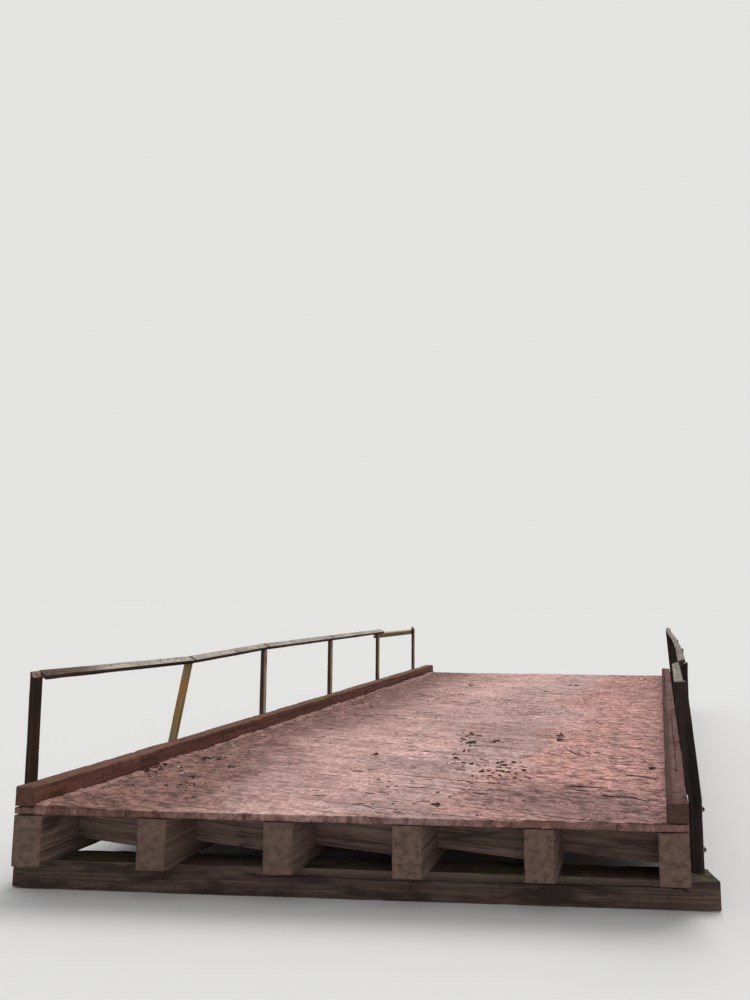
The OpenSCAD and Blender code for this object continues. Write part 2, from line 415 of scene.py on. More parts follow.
class Timber:
    """A sawn timber whose skin of worn fibres runs between the cut ends of its solid."""

    # The four sides of the section, as corner, direction and inward direction
    SIDES = (((0, 0), (1, 0), (0, 1)), ((1, 0), (0, 1), (-1, 0)),
             ((1, 1), (-1, 0), (0, -1)), ((0, 1), (0, -1), (1, 0)))
    # Share of an arris's radius at which its middle strip starts
    ARRIS_STRIP = 0.45
    # Rays are cast this far inside the faces, so that none runs along one
    INSET = 0.0015
    # The least radius of an arris, and the most as a share of the section's smaller side
    LEAST_RADIUS, MOST_RADIUS = 0.0012, 0.40
    # The sides on which long splits run, in turn, and the length over which a split closes
    SPLIT_SIDES, SPLIT_TAPER = (2, 1, 3, 2, 0), 0.12
    # How far from a cut end the arris is worn more
    END_REACH = 0.012

    def __init__(self, solid: Solid, grain: Sequence[float], toward: Sequence[float], wear: Wear,
                 seed: int, lean: Lean = Lean()) -> None:
        """Finds the timber's axes and the two ends of each of its fibres.

        Args:
            solid: The solid that it follows.
            grain: Rough direction of its length.
            toward: Direction that its upper face turns to.
            wear: How its skin is cut and worn.
            seed: Makes its wear its own.
            lean: How it leans, if it is a post.
        """
        self.wear, self.lean, self.seed = wear, lean, seed
        points = solid.points - lean.shift(solid.points[:, 2])
        self.axes = self._axes(points, solid.faces, np.array(grain, float), np.array(toward, float))
        local = points @ self.axes.T
        self.low, self.size = local.min(0), np.ptp(local, axis=0)
        self.tree = BVHTree.FromPolygons([Vector(p) for p in local - self.low], list(solid.faces))
        self.corners, self.faces = local - self.low, solid.faces
        self.noise = Noise(seed)
        self.offset = np.random.default_rng(seed).uniform(0.0, 40.0, 3)
        self.tone = float(np.random.default_rng(seed + 1).uniform())

    @staticmethod
    def _axes(points: Array, faces: Sequence, grain: Array, toward: Array) -> Array:
        """Gives the directions across, up and along the grain, as rows.

        Args:
            points: The solid's corners, made upright.
            faces: Its faces.
            grain: Rough direction of its length.
            toward: Direction that its upper face turns to.

        Returns:
            Three unit rows.
        """
        areas = [np.cross(points[b] - points[a], points[c] - points[a]) for a, b, c, *_ in faces]
        turned: dict[tuple[int, int], list[Array]] = {}
        for face, area in zip(faces, areas):
            for pair in zip(face, face[1:] + face[:1]):
                turned.setdefault(tuple(sorted(pair)), []).append(area / np.linalg.norm(area))
        edges = [points[b] - points[a] for (a, b), n in turned.items() if n[0] @ n[-1] < 0.999]
        longest = max(edges, key=lambda edge: abs(edge @ grain) ** 3 / (edge @ edge))
        along = longest / np.linalg.norm(longest) * np.sign(longest @ grain)
        best, up = 0.0, toward
        for area in areas:
            facing = abs(area @ toward)
            if facing > best and abs(area @ along) < 0.2 * np.linalg.norm(area):
                best, up = facing, area * np.sign(area @ toward)
        up = up - along * (up @ along)
        up = up / np.linalg.norm(up)
        return np.stack([np.cross(up, along), up, along])

    def _fibre(self, across: float, up: float) -> tuple[float, float]:
        """Finds the two ends of the fibre at a place in the section.

        Args:
            across, up: The place, from the section's lowest corner.

        Returns:
            The distances along the grain at which the fibre starts and ends.
        """
        inside = [min(max(place, self.INSET), full - self.INSET)
                  for place, full in zip((across, up), self.size)]
        far = self.size[2] + 1.0
        start = self.tree.ray_cast(Vector((*inside, -1.0)), Vector(UP))[0]
        end = self.tree.ray_cast(Vector((*inside, far)), -Vector(UP))[0]
        if start is not None and end is not None:
            return start.z, end.z
        low, high = 0.0, float(self.size[2])
        for face in self.faces:
            a, b, c = (self.corners[i] for i in face[:3])
            normal = np.cross(b - a, c - a)
            if abs(normal[2]) > 1e-3 * np.linalg.norm(normal):
                level = a[2] - ((across - a[0]) * normal[0] + (up - a[1]) * normal[1]) / normal[2]
                low, high = (max(low, level), high) if normal[2] < 0 else (low, min(high, level))
        middle = min(max((low + high) / 2, 0.0), float(self.size[2]))
        return (middle, middle) if low >= high else (low, high)

    def _radius(self, corner: int, along: Array) -> Array:
        """Gives the worn radius of a long edge.

        Args:
            corner: Which of the four edges it is.
            along: Places along the grain.

        Returns:
            The radius at each place.
        """
        u = along + self.offset[2]
        rub = 0.8 + 0.5 * self.noise.layered(u * 2.5, 31.7 * corner, 3)
        chip = ease(self.noise.at(u * 11.0, 57.1 * corner), 0.45, 0.9)
        upper = 1.8 if self.wear.rot and corner > 1 else 1.0
        most = self.MOST_RADIUS * float(min(self.size[:2]))
        return np.clip(self.wear.arris * (rub + 1.4 * chip) * upper, self.LEAST_RADIUS, most)

    def _splits(self) -> list[tuple[int, int, float, float]]:
        """Chooses where the long splits run.

        Returns:
            Each split's side, strip, start and end along the grain.
        """
        draw = np.random.default_rng(self.seed + 2)
        found = []
        for number in range(self.wear.checks):
            side = self.SPLIT_SIDES[number % len(self.SPLIT_SIDES)]
            strips = self.wear.wide if side % 2 == 0 else self.wear.narrow
            if strips < 7:
                continue
            strip = int(draw.integers(3, strips - 3))
            if any(abs(strip - s) < 3 and side == other for other, s, *_ in found):
                continue
            length = float(draw.uniform(0.25, 0.75)) * float(self.size[2])
            start = float(draw.uniform(-0.1, 0.7)) * float(self.size[2])
            found.append((side, strip, start, start + length))
        return found

    def _side(self, side: int, along: Array, splits: list) -> tuple[Array, Array, Array]:
        """Lays the strips of one side of the section, at every cut.

        Args:
            side: Which side it is.
            along: Place along the grain of each point, cuts by strips.
            splits: The long splits.

        Returns:
            The points' places in the section, their outward normals, and how open a split is there.
        """
        count = (self.wear.wide, self.wear.narrow)[side % 2]
        full = float(self.size[side % 2])
        start, end = self._radius(side, along), self._radius((side + 1) % 4, along)
        share = np.clip((np.arange(count) - 2) / (count - 4), 0.0, 1.0)[None, :]
        place = start + (full - start - end) * share
        place[:, 0] = 0.0
        place[:, 1] = self.ARRIS_STRIP * start[:, 1]
        place[:, count - 1] = full - self.ARRIS_STRIP * end[:, count - 1]
        opened = np.zeros_like(place)
        for own, strip, low, high in splits:
            if own != side:
                continue
            gap = full / count
            line = along[:, strip - 1:strip + 2]
            mask = (ease(line, low, low + self.SPLIT_TAPER)
                    * ease(line, high, high - self.SPLIT_TAPER))
            wander = 0.3 * gap * self.noise.layered(line * 4 + low, 7.7 * strip, 3)
            width = self.wear.check_width * (1.0 + 0.5 * self.noise.at(line * 9, 3.1 * strip))
            target = place[:, strip:strip + 1] + wander + width * np.array([[-1.0, 0.0, 1.0]])
            place[:, strip - 1:strip + 2] += (target - place[:, strip - 1:strip + 2]) * mask
            opened[:, strip] = mask[:, 1]
        inward, normal_t = np.zeros_like(place), np.zeros_like(place)
        normal_in = -np.ones_like(place)
        for near, radius, sign in ((place, start, 1.0), (full - place, end, -1.0)):
            bent = near < radius * 0.999
            reach = np.sqrt((radius - near) ** 2 + radius**2)
            moved = radius - (radius - near) * radius / reach
            place = np.where(bent, moved if sign > 0 else full - moved, place)
            inward = np.where(bent, radius - radius * radius / reach, inward)
            normal_t = np.where(bent, -sign * (radius - near) / reach, normal_t)
            normal_in = np.where(bent, -radius / reach, normal_in)
        corner, tangent, inner = (np.array(v, float) for v in self.SIDES[side])
        spot = (corner * self.size[:2] + place[..., None] * tangent + inward[..., None] * inner)
        return spot, normal_t[..., None] * tangent + normal_in[..., None] * inner, opened

    def _nominal(self) -> tuple[Array, Array]:
        """Lays out the strips as they would be without wear.

        Returns:
            Their places across and up the section.
        """
        radius = self.wear.arris
        lines = []
        for count, full in zip((self.wear.wide, self.wear.narrow), self.size[:2]):
            middle = np.linspace(radius, full - radius, count - 3)
            lines.append(np.array([0.0, self.ARRIS_STRIP * radius, *middle,
                                   full - self.ARRIS_STRIP * radius, full]))
        return lines[0], lines[1]

    def skin(self, into: Skin, growth: Amount | None = None) -> None:
        """Builds the worn skin.

        Args:
            into: The skin that takes the patches.
            growth: Gives how much grows on points of the bridge, from 0 to 1; on some posts and on
                the newer rail it gives a painted highlight instead.
        """
        wear, wide, narrow = self.wear, self.wear.wide, self.wear.narrow
        columns, rows = self._nominal()
        ends = np.array([[self._fibre(a, b) for b in rows] for a in columns])
        ring = ([(i, 0) for i in range(wide)] + [(wide, j) for j in range(narrow)]
                + [(i, narrow) for i in range(wide, 0, -1)]
                + [(0, j) for j in range(narrow, 0, -1)])
        around = np.array([ends[i, j] for i, j in ring])
        first, last = float(ends[..., 0].min()), float(ends[..., 1].max())
        cuts = max(3, int(round((last - first) / wear.step)) + 1)
        along = np.clip(np.linspace(first, last, cuts)[:, None], around[:, 0], around[:, 1])
        splits, parts, begin = self._splits(), [], 0
        for side in range(4):
            count = (wide, narrow)[side % 2]
            parts.append(self._side(side, along[:, begin:begin + count], splits))
            begin += count
        spot, normal, opened = (np.concatenate(sides, axis=1) for sides in zip(*parts))
        spot = spot - normal * self._depth(spot, along, opened, around)[..., None]
        edge = ease(np.abs(normal).max(-1), 0.995, 0.85)
        total = len(ring)
        body = np.arange((cuts - 1) * total).reshape(cuts - 1, total)
        beside = np.roll(body, -1, axis=1)
        quads = np.stack([body, beside, beside + total, body + total], axis=-1).reshape(-1, 4)
        self._add(into, spot, along, quads, edge, opened, growth, end=0.0)
        for which, cut in ((0, 0), (1, cuts - 1)):
            grid, depth = self._cap(spot[cut], along[cut], ring, ends[..., which], which)
            cell = np.arange((wide + 1) * (narrow + 1)).reshape(wide + 1, narrow + 1)
            a, b, c, d = cell[:-1, :-1], cell[:-1, 1:], cell[1:, 1:], cell[1:, :-1]
            order = [a, b, c, d] if which == 0 else [a, d, c, b]
            caps = np.stack(order, axis=-1).reshape(-1, 4)
            none = np.zeros_like(depth)
            self._add(into, grid, depth, caps, none, none, growth, end=1.0)

    def _depth(self, spot: Array, along: Array, opened: Array, around: Array) -> Array:
        """Gives how far wear has taken each point of the skin inwards.

        Args:
            spot: The points' places in the section.
            along: Their places along the grain.
            opened: How open a split is there.
            around: The two ends of each point's fibre.

        Returns:
            The depth of each point.
        """
        wear, noise = self.wear, self.noise
        s = along + self.offset[2]
        q = spot[..., 0] + 1.37 * spot[..., 1] + self.offset[0]
        depth = wear.fibre * np.abs(noise.layered(s * 2.2, q * 150, 2))
        depth += wear.dents * (0.5 + 0.5 * noise.layered(s * 3.2, q * 9, 3))
        if wear.rot:
            upper = ease(spot[..., 1] / self.size[1], 0.15, 1.0)
            bite = ease(noise.layered(s * 3.6, q * 8, 4), -0.25, 0.75)
            crumble = ease(noise.at(s * 21, q * 40), 0.2, 0.7)
            depth += wear.rot * upper * (bite + 0.25 * crumble)
        from_end = np.minimum(along - around[:, 0], around[:, 1] - along)
        depth += wear.end_loss * ease(from_end, self.END_REACH, 0.0)
        taper = 0.55 + 0.45 * noise.at(s * 6, q * 3)
        return np.maximum(depth, 0.0) + opened * wear.check_depth * taper

    def _cap(self, spot: Array, along: Array, ring: Sequence, ends: Array,
             which: int) -> tuple[Array, Array]:
        """Fills a cut end with a net of points between the strips of its rim.

        Args:
            spot: The rim's places in the section.
            along: The rim's places along the grain.
            ring: Column and row of each point of the rim.
            ends: Where each fibre of the net is cut.
            which: 0 at the start of the timber and 1 at its end.

        Returns:
            The net's places in the section, and along the grain.
        """
        wide, narrow = self.wear.wide, self.wear.narrow
        grid = np.zeros((wide + 1, narrow + 1, 2))
        depth = ends.copy()
        for point, (i, j) in enumerate(ring):
            grid[i, j], depth[i, j] = spot[point], along[point]
        u = np.linspace(0, 1, wide + 1)[1:-1, None, None]
        v = np.linspace(0, 1, narrow + 1)[None, 1:-1, None]
        low, high = grid[1:-1, :1], grid[1:-1, -1:]
        left, right = grid[:1, 1:-1], grid[-1:, 1:-1]
        corners = ((1 - u) * (1 - v) * grid[0, 0] + u * (1 - v) * grid[-1, 0]
                   + (1 - u) * v * grid[0, -1] + u * v * grid[-1, -1])
        grid[1:-1, 1:-1] = (1 - v) * low + v * high + (1 - u) * left + u * right - corners
        inner = grid[1:-1, 1:-1]
        uneven = self.noise.layered(inner[..., 0] * 60, inner[..., 1] * 60, 3)
        rough = self.wear.end_loss * np.clip(0.5 + 0.5 * uneven, 0.0, 1.0)
        depth[1:-1, 1:-1] += rough * (1 if which == 0 else -1)
        return grid, depth

    def _add(self, into: Skin, spot: Array, along: Array, faces: Array, edge: Array, opened: Array,
             growth: Amount | None, end: float) -> None:
        """Adds a patch of skin.

        Args:
            into: The skin that takes it.
            spot: The points' places in the section.
            along: Their places along the grain.
            faces: The corners of each face.
            edge: How worn an edge is there.
            opened: How open a split is there.
            growth: Gives how much grows on points of the bridge; on some timbers it gives a painted
                highlight instead.
            end: 1 where the patch is cut across the grain.
        """
        local = np.concatenate([spot, along[..., None]], axis=-1).reshape(-1, 3)
        points = (local + self.low) @ self.axes
        points = points + self.lean.shift(points[:, 2])
        grown_and_highlight = np.zeros(len(points)) if growth is None else growth(points)
        tone = np.full(len(points), self.tone)
        marks = np.stack([tone, edge.ravel(), opened.ravel(), grown_and_highlight], axis=-1)
        into.add(points, faces, local + self.offset, marks, end)


class Graph:
    """The nodes of a material or of the world, written as formulas."""

    def __init__(self, owner: Material | bpy.types.World) -> None:
        """Starts without nodes.

        Args:
            owner: The material or world that they belong to.
        """
        owner.use_nodes = True
        self.owner, self.tree = owner, owner.node_tree
        self.tree.nodes.clear()

    def node(self, kind: str, inputs: dict | None = None, **settings: object) -> bpy.types.Node:
        """Adds a node.

        Args:
            kind: The node's type, without its usual prefix.
            inputs: A value or an output for each input, by name or number.
            settings: The node's own properties.

        Returns:
            The node.
        """
        made = self.tree.nodes.new("ShaderNode" + kind)
        for key, value in settings.items():
            setattr(made, key, value)
        for key, value in (inputs or {}).items():
            socket = made.inputs[key]
            if isinstance(value, Socket):
                self.tree.links.new(value, socket)
            else:
                socket.default_value = value
        return made

    def read(self, name: str, output: str = "Vector") -> Socket:
        """Reads an attribute of the mesh."""
        return self.node("Attribute", attribute_name=name).outputs[output]

    def math(self, operation: str, a: object, b: object = 0.0) -> Socket:
        """Works out one step of arithmetic."""
        return self.node("Math", {0: a, 1: b}, operation=operation).outputs[0]

    def scaled(self, vector: object, x: float, y: float, z: float) -> Socket:
        """Stretches coordinates along each axis."""
        return self.node("VectorMath", {0: vector, 1: (x, y, z)}, operation="MULTIPLY").outputs[0]

    def noise(self, vector: object, detail: float = 3.0, rough: float = 0.55,
              warp: float = 0.0) -> Socket:
        """Gives noise from 0 to 1 with one cell to each unit of the coordinates."""
        inputs = {"Vector": vector, "Scale": 1.0, "Detail": detail, "Roughness": rough,
                  "Distortion": warp}
        return self.node("TexNoise", inputs).outputs[0]

    def ease(self, value: object, low: float, high: float, start: float = 0.0,
             end: float = 1.0) -> Socket:
        """Rises smoothly from start at low to end at high."""
        inputs = {"Value": value, "From Min": low, "From Max": high, "To Min": start,
                  "To Max": end}
        return self.node("MapRange", inputs, interpolation_type="SMOOTHSTEP").outputs[0]

    def mix(self, share: object, a: object, b: object, blend: str = "MIX") -> Socket:
        """Mixes two colours."""
        inputs = {0: share, 6: a, 7: b}
        return self.node("Mix", inputs, data_type="RGBA", blend_type=blend).outputs[2]

    def times(self, *values: object) -> Socket:
        """Multiplies two numbers or more together."""
        return reduce(partial(self.math, "MULTIPLY"), values)

    def add(self, *values: object) -> Socket:
        """Adds two numbers or more together."""
        return reduce(partial(self.math, "ADD"), values)

    def facing(self, axis: int) -> Socket:
        """Gives how far the surface faces along an axis of the bridge, from -1 to 1."""
        normal = self.node("NewGeometry").outputs["Normal"]
        return self.node("SeparateXYZ", {0: normal}).outputs[axis]

    def lying(self, axis: int) -> Socket:
        """Gives the place along an axis of the bridge, in metres."""
        return self.node("SeparateXYZ", {0: self.node("TexCoord").outputs["Object"]}).outputs[axis]

    def surface(self, colour: object, rough: object, height: object, bump: float,
                metallic: float = 0.0) -> Material:
        """Ends the material in its shader.

        Args:
            colour: The base colour.
            rough: The roughness.
            height: The relief, from 0 to 1.
            bump: Depth of the relief in metres.
            metallic: Share of bare metal.

        Returns:
            The material.
        """
        relief = self.node("Bump", {"Strength": 1.0, "Distance": bump, "Height": height})
        inputs = {"Base Color": colour, "Roughness": rough, "Metallic": metallic,
                  "Specular IOR Level": 0.25, "Normal": relief.outputs[0]}
        shader = self.node("BsdfPrincipled", inputs)
        self.node("OutputMaterial", {"Surface": shader.outputs[0]})
        return self.owner


class Growth(Enum):
    """What grows on a timber, or a patina from sun and rain, which on some timbers is a painted
    highlight.
    """

    NONE = "none"
    LICHEN = "lichen"
    MOSS = "moss"
    PATINA_AND_HIGHLIGHT = "patina"


@dataclass(frozen=True)
class TimberFinish:
    """Weathered wood, with its grain, stains, fine cracks and what grows on it.

    Attributes:
        name: The material's name.
        light, dark: The wood between its growth rings and in them.
        stain: Colour of the broad stains.
        stained: How much of the surface is stained, from 0 to 1.
        crack: Colour in the cracks.
        worn: Colour of rubbed edges.
        end: Colour of the cut ends.
        growth: What grows on it, or its patina, which on some timbers is a painted highlight.
        grown_and_highlight: Colour of the growth or patina, and of the painted highlight where the
            patina stands for one.
        cover: How much of the growing places it covers, from 0 to 1.
        cubes: How strongly rot has cracked it across the grain, from 0 to 1.
        rough: Roughness.
        bump: Depth of its relief in metres.
        mud: Colour of the dirt that lies on faces that look up, if there is any.
        dark_inside: Place across the bridge from which it is darker towards the walkway.
    """

    name: str
    light: Colour
    dark: Colour
    stain: Colour
    stained: float
    crack: Colour
    worn: Colour
    end: Colour
    growth: Growth = Growth.NONE
    grown_and_highlight: Colour = (0.5, 0.5, 0.5, 1.0)
    cover: float = 0.5
    cubes: float = 0.0
    rough: float = 0.85
    bump: float = 0.002
    mud: Colour | None = None
    dark_inside: float | None = None

    def dress(self) -> Material:
        """Builds the material.

        Returns:
            The material.
        """
        g = Graph(bpy.data.materials.new(self.name))
        place = g.read("grain")
        tone, edge, opened = g.node("SeparateColor", {0: g.read("marks", "Color")}).outputs
        growth, end = g.read("marks", "Alpha"), g.read("cut_end", "Fac")
        rings = g.noise(g.scaled(place, 46, 46, 0.7), 3.0, 0.6, 0.6)
        fibre = g.noise(g.scaled(place, 430, 430, 7.0), 2.0, 0.6)
        stains = g.noise(g.scaled(place, 7, 7, 1.7), 4.0, 0.6, 0.4)
        specks = g.noise(g.scaled(place, 90, 90, 60), 3.0, 0.65)
        cracks = g.ease(g.noise(g.scaled(place, 170, 170, 1.6), 2.0, 0.5), 0.63, 0.70)
        colour = g.mix(g.ease(rings, 0.32, 0.68), self.dark, self.light)
        stain_at = 0.72 - 0.5 * self.stained
        colour = g.mix(g.ease(stains, stain_at, stain_at + 0.18), colour, self.stain)
        colour = g.mix(g.ease(fibre, 0.25, 0.75, 0.55, 0.0), colour, self.dark, "MULTIPLY")
        colour = g.mix(g.ease(specks, 0.60, 0.72, 0.0, 0.5), colour, self.crack)
        colour = g.mix(g.times(edge, g.ease(stains, 0.35, 0.6), 0.7), colour, self.worn)
        if self.mud:
            lumpy = g.noise(g.scaled(place, 26, 26, 40), 4.0, 0.65)
            mud = g.mix(g.ease(lumpy, 0.56, 0.40, 0.0, 0.7), self.mud, self.dark)
            lies = g.times(g.ease(g.facing(2), 0.30, 0.75), g.ease(stains, 0.30, 0.50, 0.55, 0.95))
            colour = g.mix(lies, colour, mud)
        if self.dark_inside is not None:
            # Darker in a strip from the given place across the bridge towards the walkway
            x = g.add(g.lying(0), g.times(g.add(specks, -0.5), 0.05))
            darkened = g.ease(x, self.dark_inside + 0.008, self.dark_inside - 0.012, 0.0, 0.75)
            colour = g.mix(darkened, colour, self.stain)
        height = g.add(g.times(rings, 0.5), g.times(fibre, 0.35), g.times(specks, 0.25),
                       g.times(cracks, -0.8))
        if self.cubes:
            across = g.noise(g.scaled(place, 9, 9, 42), 2.0, 0.5, 0.8)
            block = g.ease(across, 0.60, 0.67)
            colour = g.mix(g.times(block, self.cubes), colour, self.crack)
            height = g.add(height, g.times(block, -1.2 * self.cubes))
        colour = g.mix(cracks, colour, self.crack)
        section = g.scaled(place, 1, 1, 0)
        across_end = g.node("VectorMath", {0: section}, operation="LENGTH").outputs["Value"]
        circles = g.math("SINE", g.add(g.times(across_end, 1500), g.times(stains, 9)))
        end_colour = g.mix(g.ease(circles, -0.8, 0.8, 0.0, 0.45), self.end, self.dark)
        blotch = g.noise(g.scaled(place, 20, 20, 0), 4.0, 0.6)
        end_colour = g.mix(g.ease(blotch, 0.36, 0.70, 0.0, 0.60), end_colour, self.stain)
        # Short splits run where a stretched noise crosses its middle
        split = g.math("ABSOLUTE", g.add(g.noise(g.scaled(place, 26, 48, 0), 2.0, 0.5, 0.6), -0.5))
        split = g.times(g.ease(split, 0.018, 0.006), g.ease(blotch, 0.50, 0.56))
        end_colour = g.mix(g.times(split, 0.9), end_colour, self.crack)
        colour = g.mix(end, colour, end_colour)
        colour = g.mix(g.ease(tone, 0.0, 1.0, 0.28, 0.0), colour, self.dark)
        colour = g.mix(g.ease(opened, 0.1, 0.6), colour, self.crack)
        if self.growth is not Growth.NONE:
            colour, height = self._grow(g, place, colour, height, growth, opened)
        return g.surface(colour, self.rough, height, self.bump)

    def _grow(self, g: Graph, place: object, colour: object, height: object, growth: object,
              opened: object) -> tuple[object, object]:
        """Lays lichen, moss or patina over the wood; on some timbers the patina is a painted
        highlight.

        Args:
            g: The material's nodes.
            place: Coordinates in the timber.
            colour, height: The wood's colour and relief.
            growth: How much grows at each point.
            opened: How open a split is.

        Returns:
            The colour and relief with the growth.
        """
        limit = 0.66 - 0.36 * self.cover
        # On the brown left posts and the newer rail this patina is a painted highlight
        if self.growth is Growth.PATINA_AND_HIGHLIGHT:
            streaks = g.noise(g.scaled(place, 60, 60, 4.0), 4.0, 0.65, 0.4)
            mask = g.times(growth, g.ease(streaks, limit, limit + 0.16),
                           g.ease(opened, 0.1, 0.5, 0.9, 0.0))
            return g.mix(mask, colour, self.grown_and_highlight), height
        lichen = self.growth is Growth.LICHEN
        facing = g.ease(g.facing(2), *((0.25, 0.75) if lichen else (-0.1, 0.8)))
        patch = g.noise(g.scaled(place, *((38, 38, 26) if lichen else (22, 22, 14))), 4.0, 0.7)
        spot = g.noise(g.scaled(place, 240, 240, 150), 2.0, 0.6)
        mask = g.ease(g.add(patch, g.times(spot, 0.22)), limit + 0.10, limit + 0.20)
        mask = g.times(mask, facing, growth, g.ease(opened, 0.1, 0.5, 1.0, 0.0))
        shade = g.mix(g.ease(spot, 0.3, 0.7), self.grown_and_highlight, self.light if lichen else self.dark)
        shade = g.mix(0.35 if lichen else 0.25, self.grown_and_highlight, shade)
        colour = g.mix(mask, colour, shade)
        height = g.add(height, g.times(mask, g.add(0.5, g.times(spot, 0.9))))
        return colour, height


@dataclass(frozen=True)
class Damp:
    """A damp patch on the deck, an ellipse with a ragged edge.

    Attributes:
        x, y: Its middle.
        reach_x, reach_y: Its half widths.
        share: How far it takes the colour, from 0 to 1.
    """

    x: float
    y: float
    reach_x: float
    reach_y: float
    share: float


@dataclass(frozen=True)
class DeckFinish:
    """The trodden deck: pinkish mud and wood fibres, with a wheel track and damp patches.

    Attributes:
        name: The material's name.
        plan: The deck's plan, which places the bands along the curbs.
        mud: 1 on the mud itself, and less on planks that show their wood.
        pale, pink, brown, dark: The colours of dry mud, from light to deep.
        ruddy, ruddy_dark: Colours of the barer wood beside the right curb, and of its hollows.
        soil, soil_dark: Colours of the soil along the left curb, dry and moist.
        darkened: How much of each colour dampness leaves.
        soil_width: How far the soil reaches from the curb.
        track: Where the wheel track starts and ends across the bridge.
        patches: The damp patches.
        rough: Roughness.
        bump: Depth of its relief in metres.
    """

    name: str
    plan: Plan
    mud: float
    pale: Colour = srgb(236, 196, 188)
    pink: Colour = srgb(211, 168, 160)
    brown: Colour = srgb(158, 121, 114)
    dark: Colour = srgb(82, 54, 49)
    ruddy: Colour = srgb(210, 154, 143)
    ruddy_dark: Colour = srgb(130, 87, 79)
    soil: Colour = srgb(144, 105, 94)
    soil_dark: Colour = srgb(86, 56, 47)
    darkened: Colour = (0.66, 0.665, 0.70, 1.0)
    soil_width: float = 0.66
    track: tuple[float, float] = (0.20, 0.95)
    patches: tuple[Damp, ...] = (
        Damp(-0.08, -3.33, 0.62, 0.24, 0.95), Damp(0.60, -1.60, 0.40, 1.20, 0.50),
        Damp(1.35, -3.98, 0.80, 0.66, 0.95), Damp(1.50, -4.10, 0.66, 0.50, 0.80),
        Damp(-0.95, -4.20, 0.50, 0.45, 0.50), Damp(0.25, -4.70, 0.60, 0.20, 0.60),
        Damp(-1.75, -5.15, 0.85, 0.50, 0.60), Damp(-0.12, -0.40, 0.50, 1.40, 0.40),
    )
    rough: float = 0.88
    bump: float = 0.0045

    def _patch(self, g: Graph, place: object, damp: Damp, ragged: object) -> object:
        """Gives how damp the deck is in one patch.

        Args:
            g: The material's nodes.
            place: Places on the bridge.
            damp: The patch.
            ragged: Numbers around 0 that move its edge.

        Returns:
            The dampness, from 0 to the patch's share.
        """
        middle = (damp.x, damp.y, 0)
        moved = g.node("VectorMath", {0: place, 1: middle}, operation="SUBTRACT").outputs[0]
        flat = g.scaled(moved, 1 / damp.reach_x, 1 / damp.reach_y, 0)
        distance = g.node("VectorMath", {0: flat}, operation="LENGTH").outputs["Value"]
        return g.ease(g.add(distance, ragged), 1.30, 0.60, 0.0, damp.share)

    def dress(self) -> Material:
        """Builds the material.

        Returns:
            The material.
        """
        g = Graph(bpy.data.materials.new(self.name))
        place, x = g.node("TexCoord").outputs["Object"], g.lying(0)
        broad = g.noise(g.scaled(place, 0.9, 0.5, 1), 3.0, 0.55, 0.4)
        patch = g.noise(g.scaled(place, 2.6, 5.5, 2), 5.0, 0.62, 0.6)
        blot = g.noise(g.scaled(place, 11, 17, 9), 4.0, 0.66, 0.5)
        streak = g.noise(g.scaled(place, 5, 46, 8), 5.0, 0.66, 0.35)
        stroke = g.noise(g.scaled(place, 12, 92, 20), 3.0, 0.58, 0.4)
        grit = g.noise(g.scaled(place, 90, 125, 110), 3.0, 0.68)
        mottle = g.noise(g.scaled(place, 26, 13, 17), 4.0, 0.74, 0.3)
        drift = g.noise(g.scaled(place, 0.55, 0.8, 1), 3.0, 0.6, 0.5)
        wander = g.add(g.times(g.add(broad, -0.5), 0.9), g.times(g.add(patch, -0.5), 0.8))
        across = g.add(x, wander)
        wide = g.add(across, g.times(g.add(drift, -0.5), 2.2))
        washed = g.node("CombineXYZ", {0: g.times(g.add(x, g.times(wander, 0.35)), 10.0),
                                       1: g.times(g.lying(1), 1.3)}).outputs[0]
        rills = g.noise(washed, 4.0, 0.64, 0.7)
        # The soil reaches further from the left curb at the near end
        nearer = g.ease(g.lying(1), -2.6, -4.9, 0.0, -0.34)
        from_left = g.add(across, nearer, -self.plan.inner_left)
        soiled = g.ease(from_left, self.soil_width * 1.50, self.soil_width * 0.60)
        barer = g.ease(wide, self.track[1] - 0.15, self.track[1] + 0.35)
        tracked = g.times(g.ease(wide, self.track[0] - 0.30, self.track[0] + 0.20),
                          g.ease(wide, self.track[1] + 0.30, self.track[1] - 0.20), 0.60)
        # Dry mud, darker in soft strokes across the bridge
        colour = g.mix(g.ease(patch, 0.36, 0.60), self.pink, self.pale)
        colour = g.mix(g.ease(blot, 0.50, 0.36, 0.0, 0.72), colour, self.brown)
        colour = g.mix(g.ease(streak, 0.49, 0.38, 0.0, 0.68), colour, self.brown)
        colour = g.mix(g.ease(streak, 0.54, 0.64, 0.0, 0.80), colour, self.pale)
        # Barer and rougher wood towards the right curb
        rugged = g.add(blot, streak)
        wood = g.mix(g.ease(rugged, 0.90, 1.03), self.ruddy_dark, self.ruddy)
        wood = g.mix(g.ease(rugged, 1.06, 1.20, 0.0, 0.55), wood, self.pale)
        wood = g.mix(g.ease(rugged, 0.90, 0.78, 0.0, 0.85), wood, self.dark)
        colour = g.mix(g.times(barer, 0.85), colour, wood)
        ragged = g.times(g.add(g.times(g.add(patch, blot), 0.5), -0.5), 2.6)
        colour = g.mix(tracked, colour, self.darkened, "MULTIPLY")
        for each in self.patches:
            colour = g.mix(self._patch(g, place, each, ragged), colour, self.darkened, "MULTIPLY")
        # Soil from the left curb inwards, thinning out
        lumpy = g.add(blot, g.times(streak, 0.6))
        soil = g.mix(g.ease(lumpy, 0.72, 0.90), self.soil_dark, self.soil)
        thinner = g.ease(from_left, self.soil_width * 3.0, self.soil_width, 0.0, 0.50)
        colour = g.mix(thinner, colour, self.brown)
        colour = g.mix(g.times(soiled, 0.92), colour, soil)
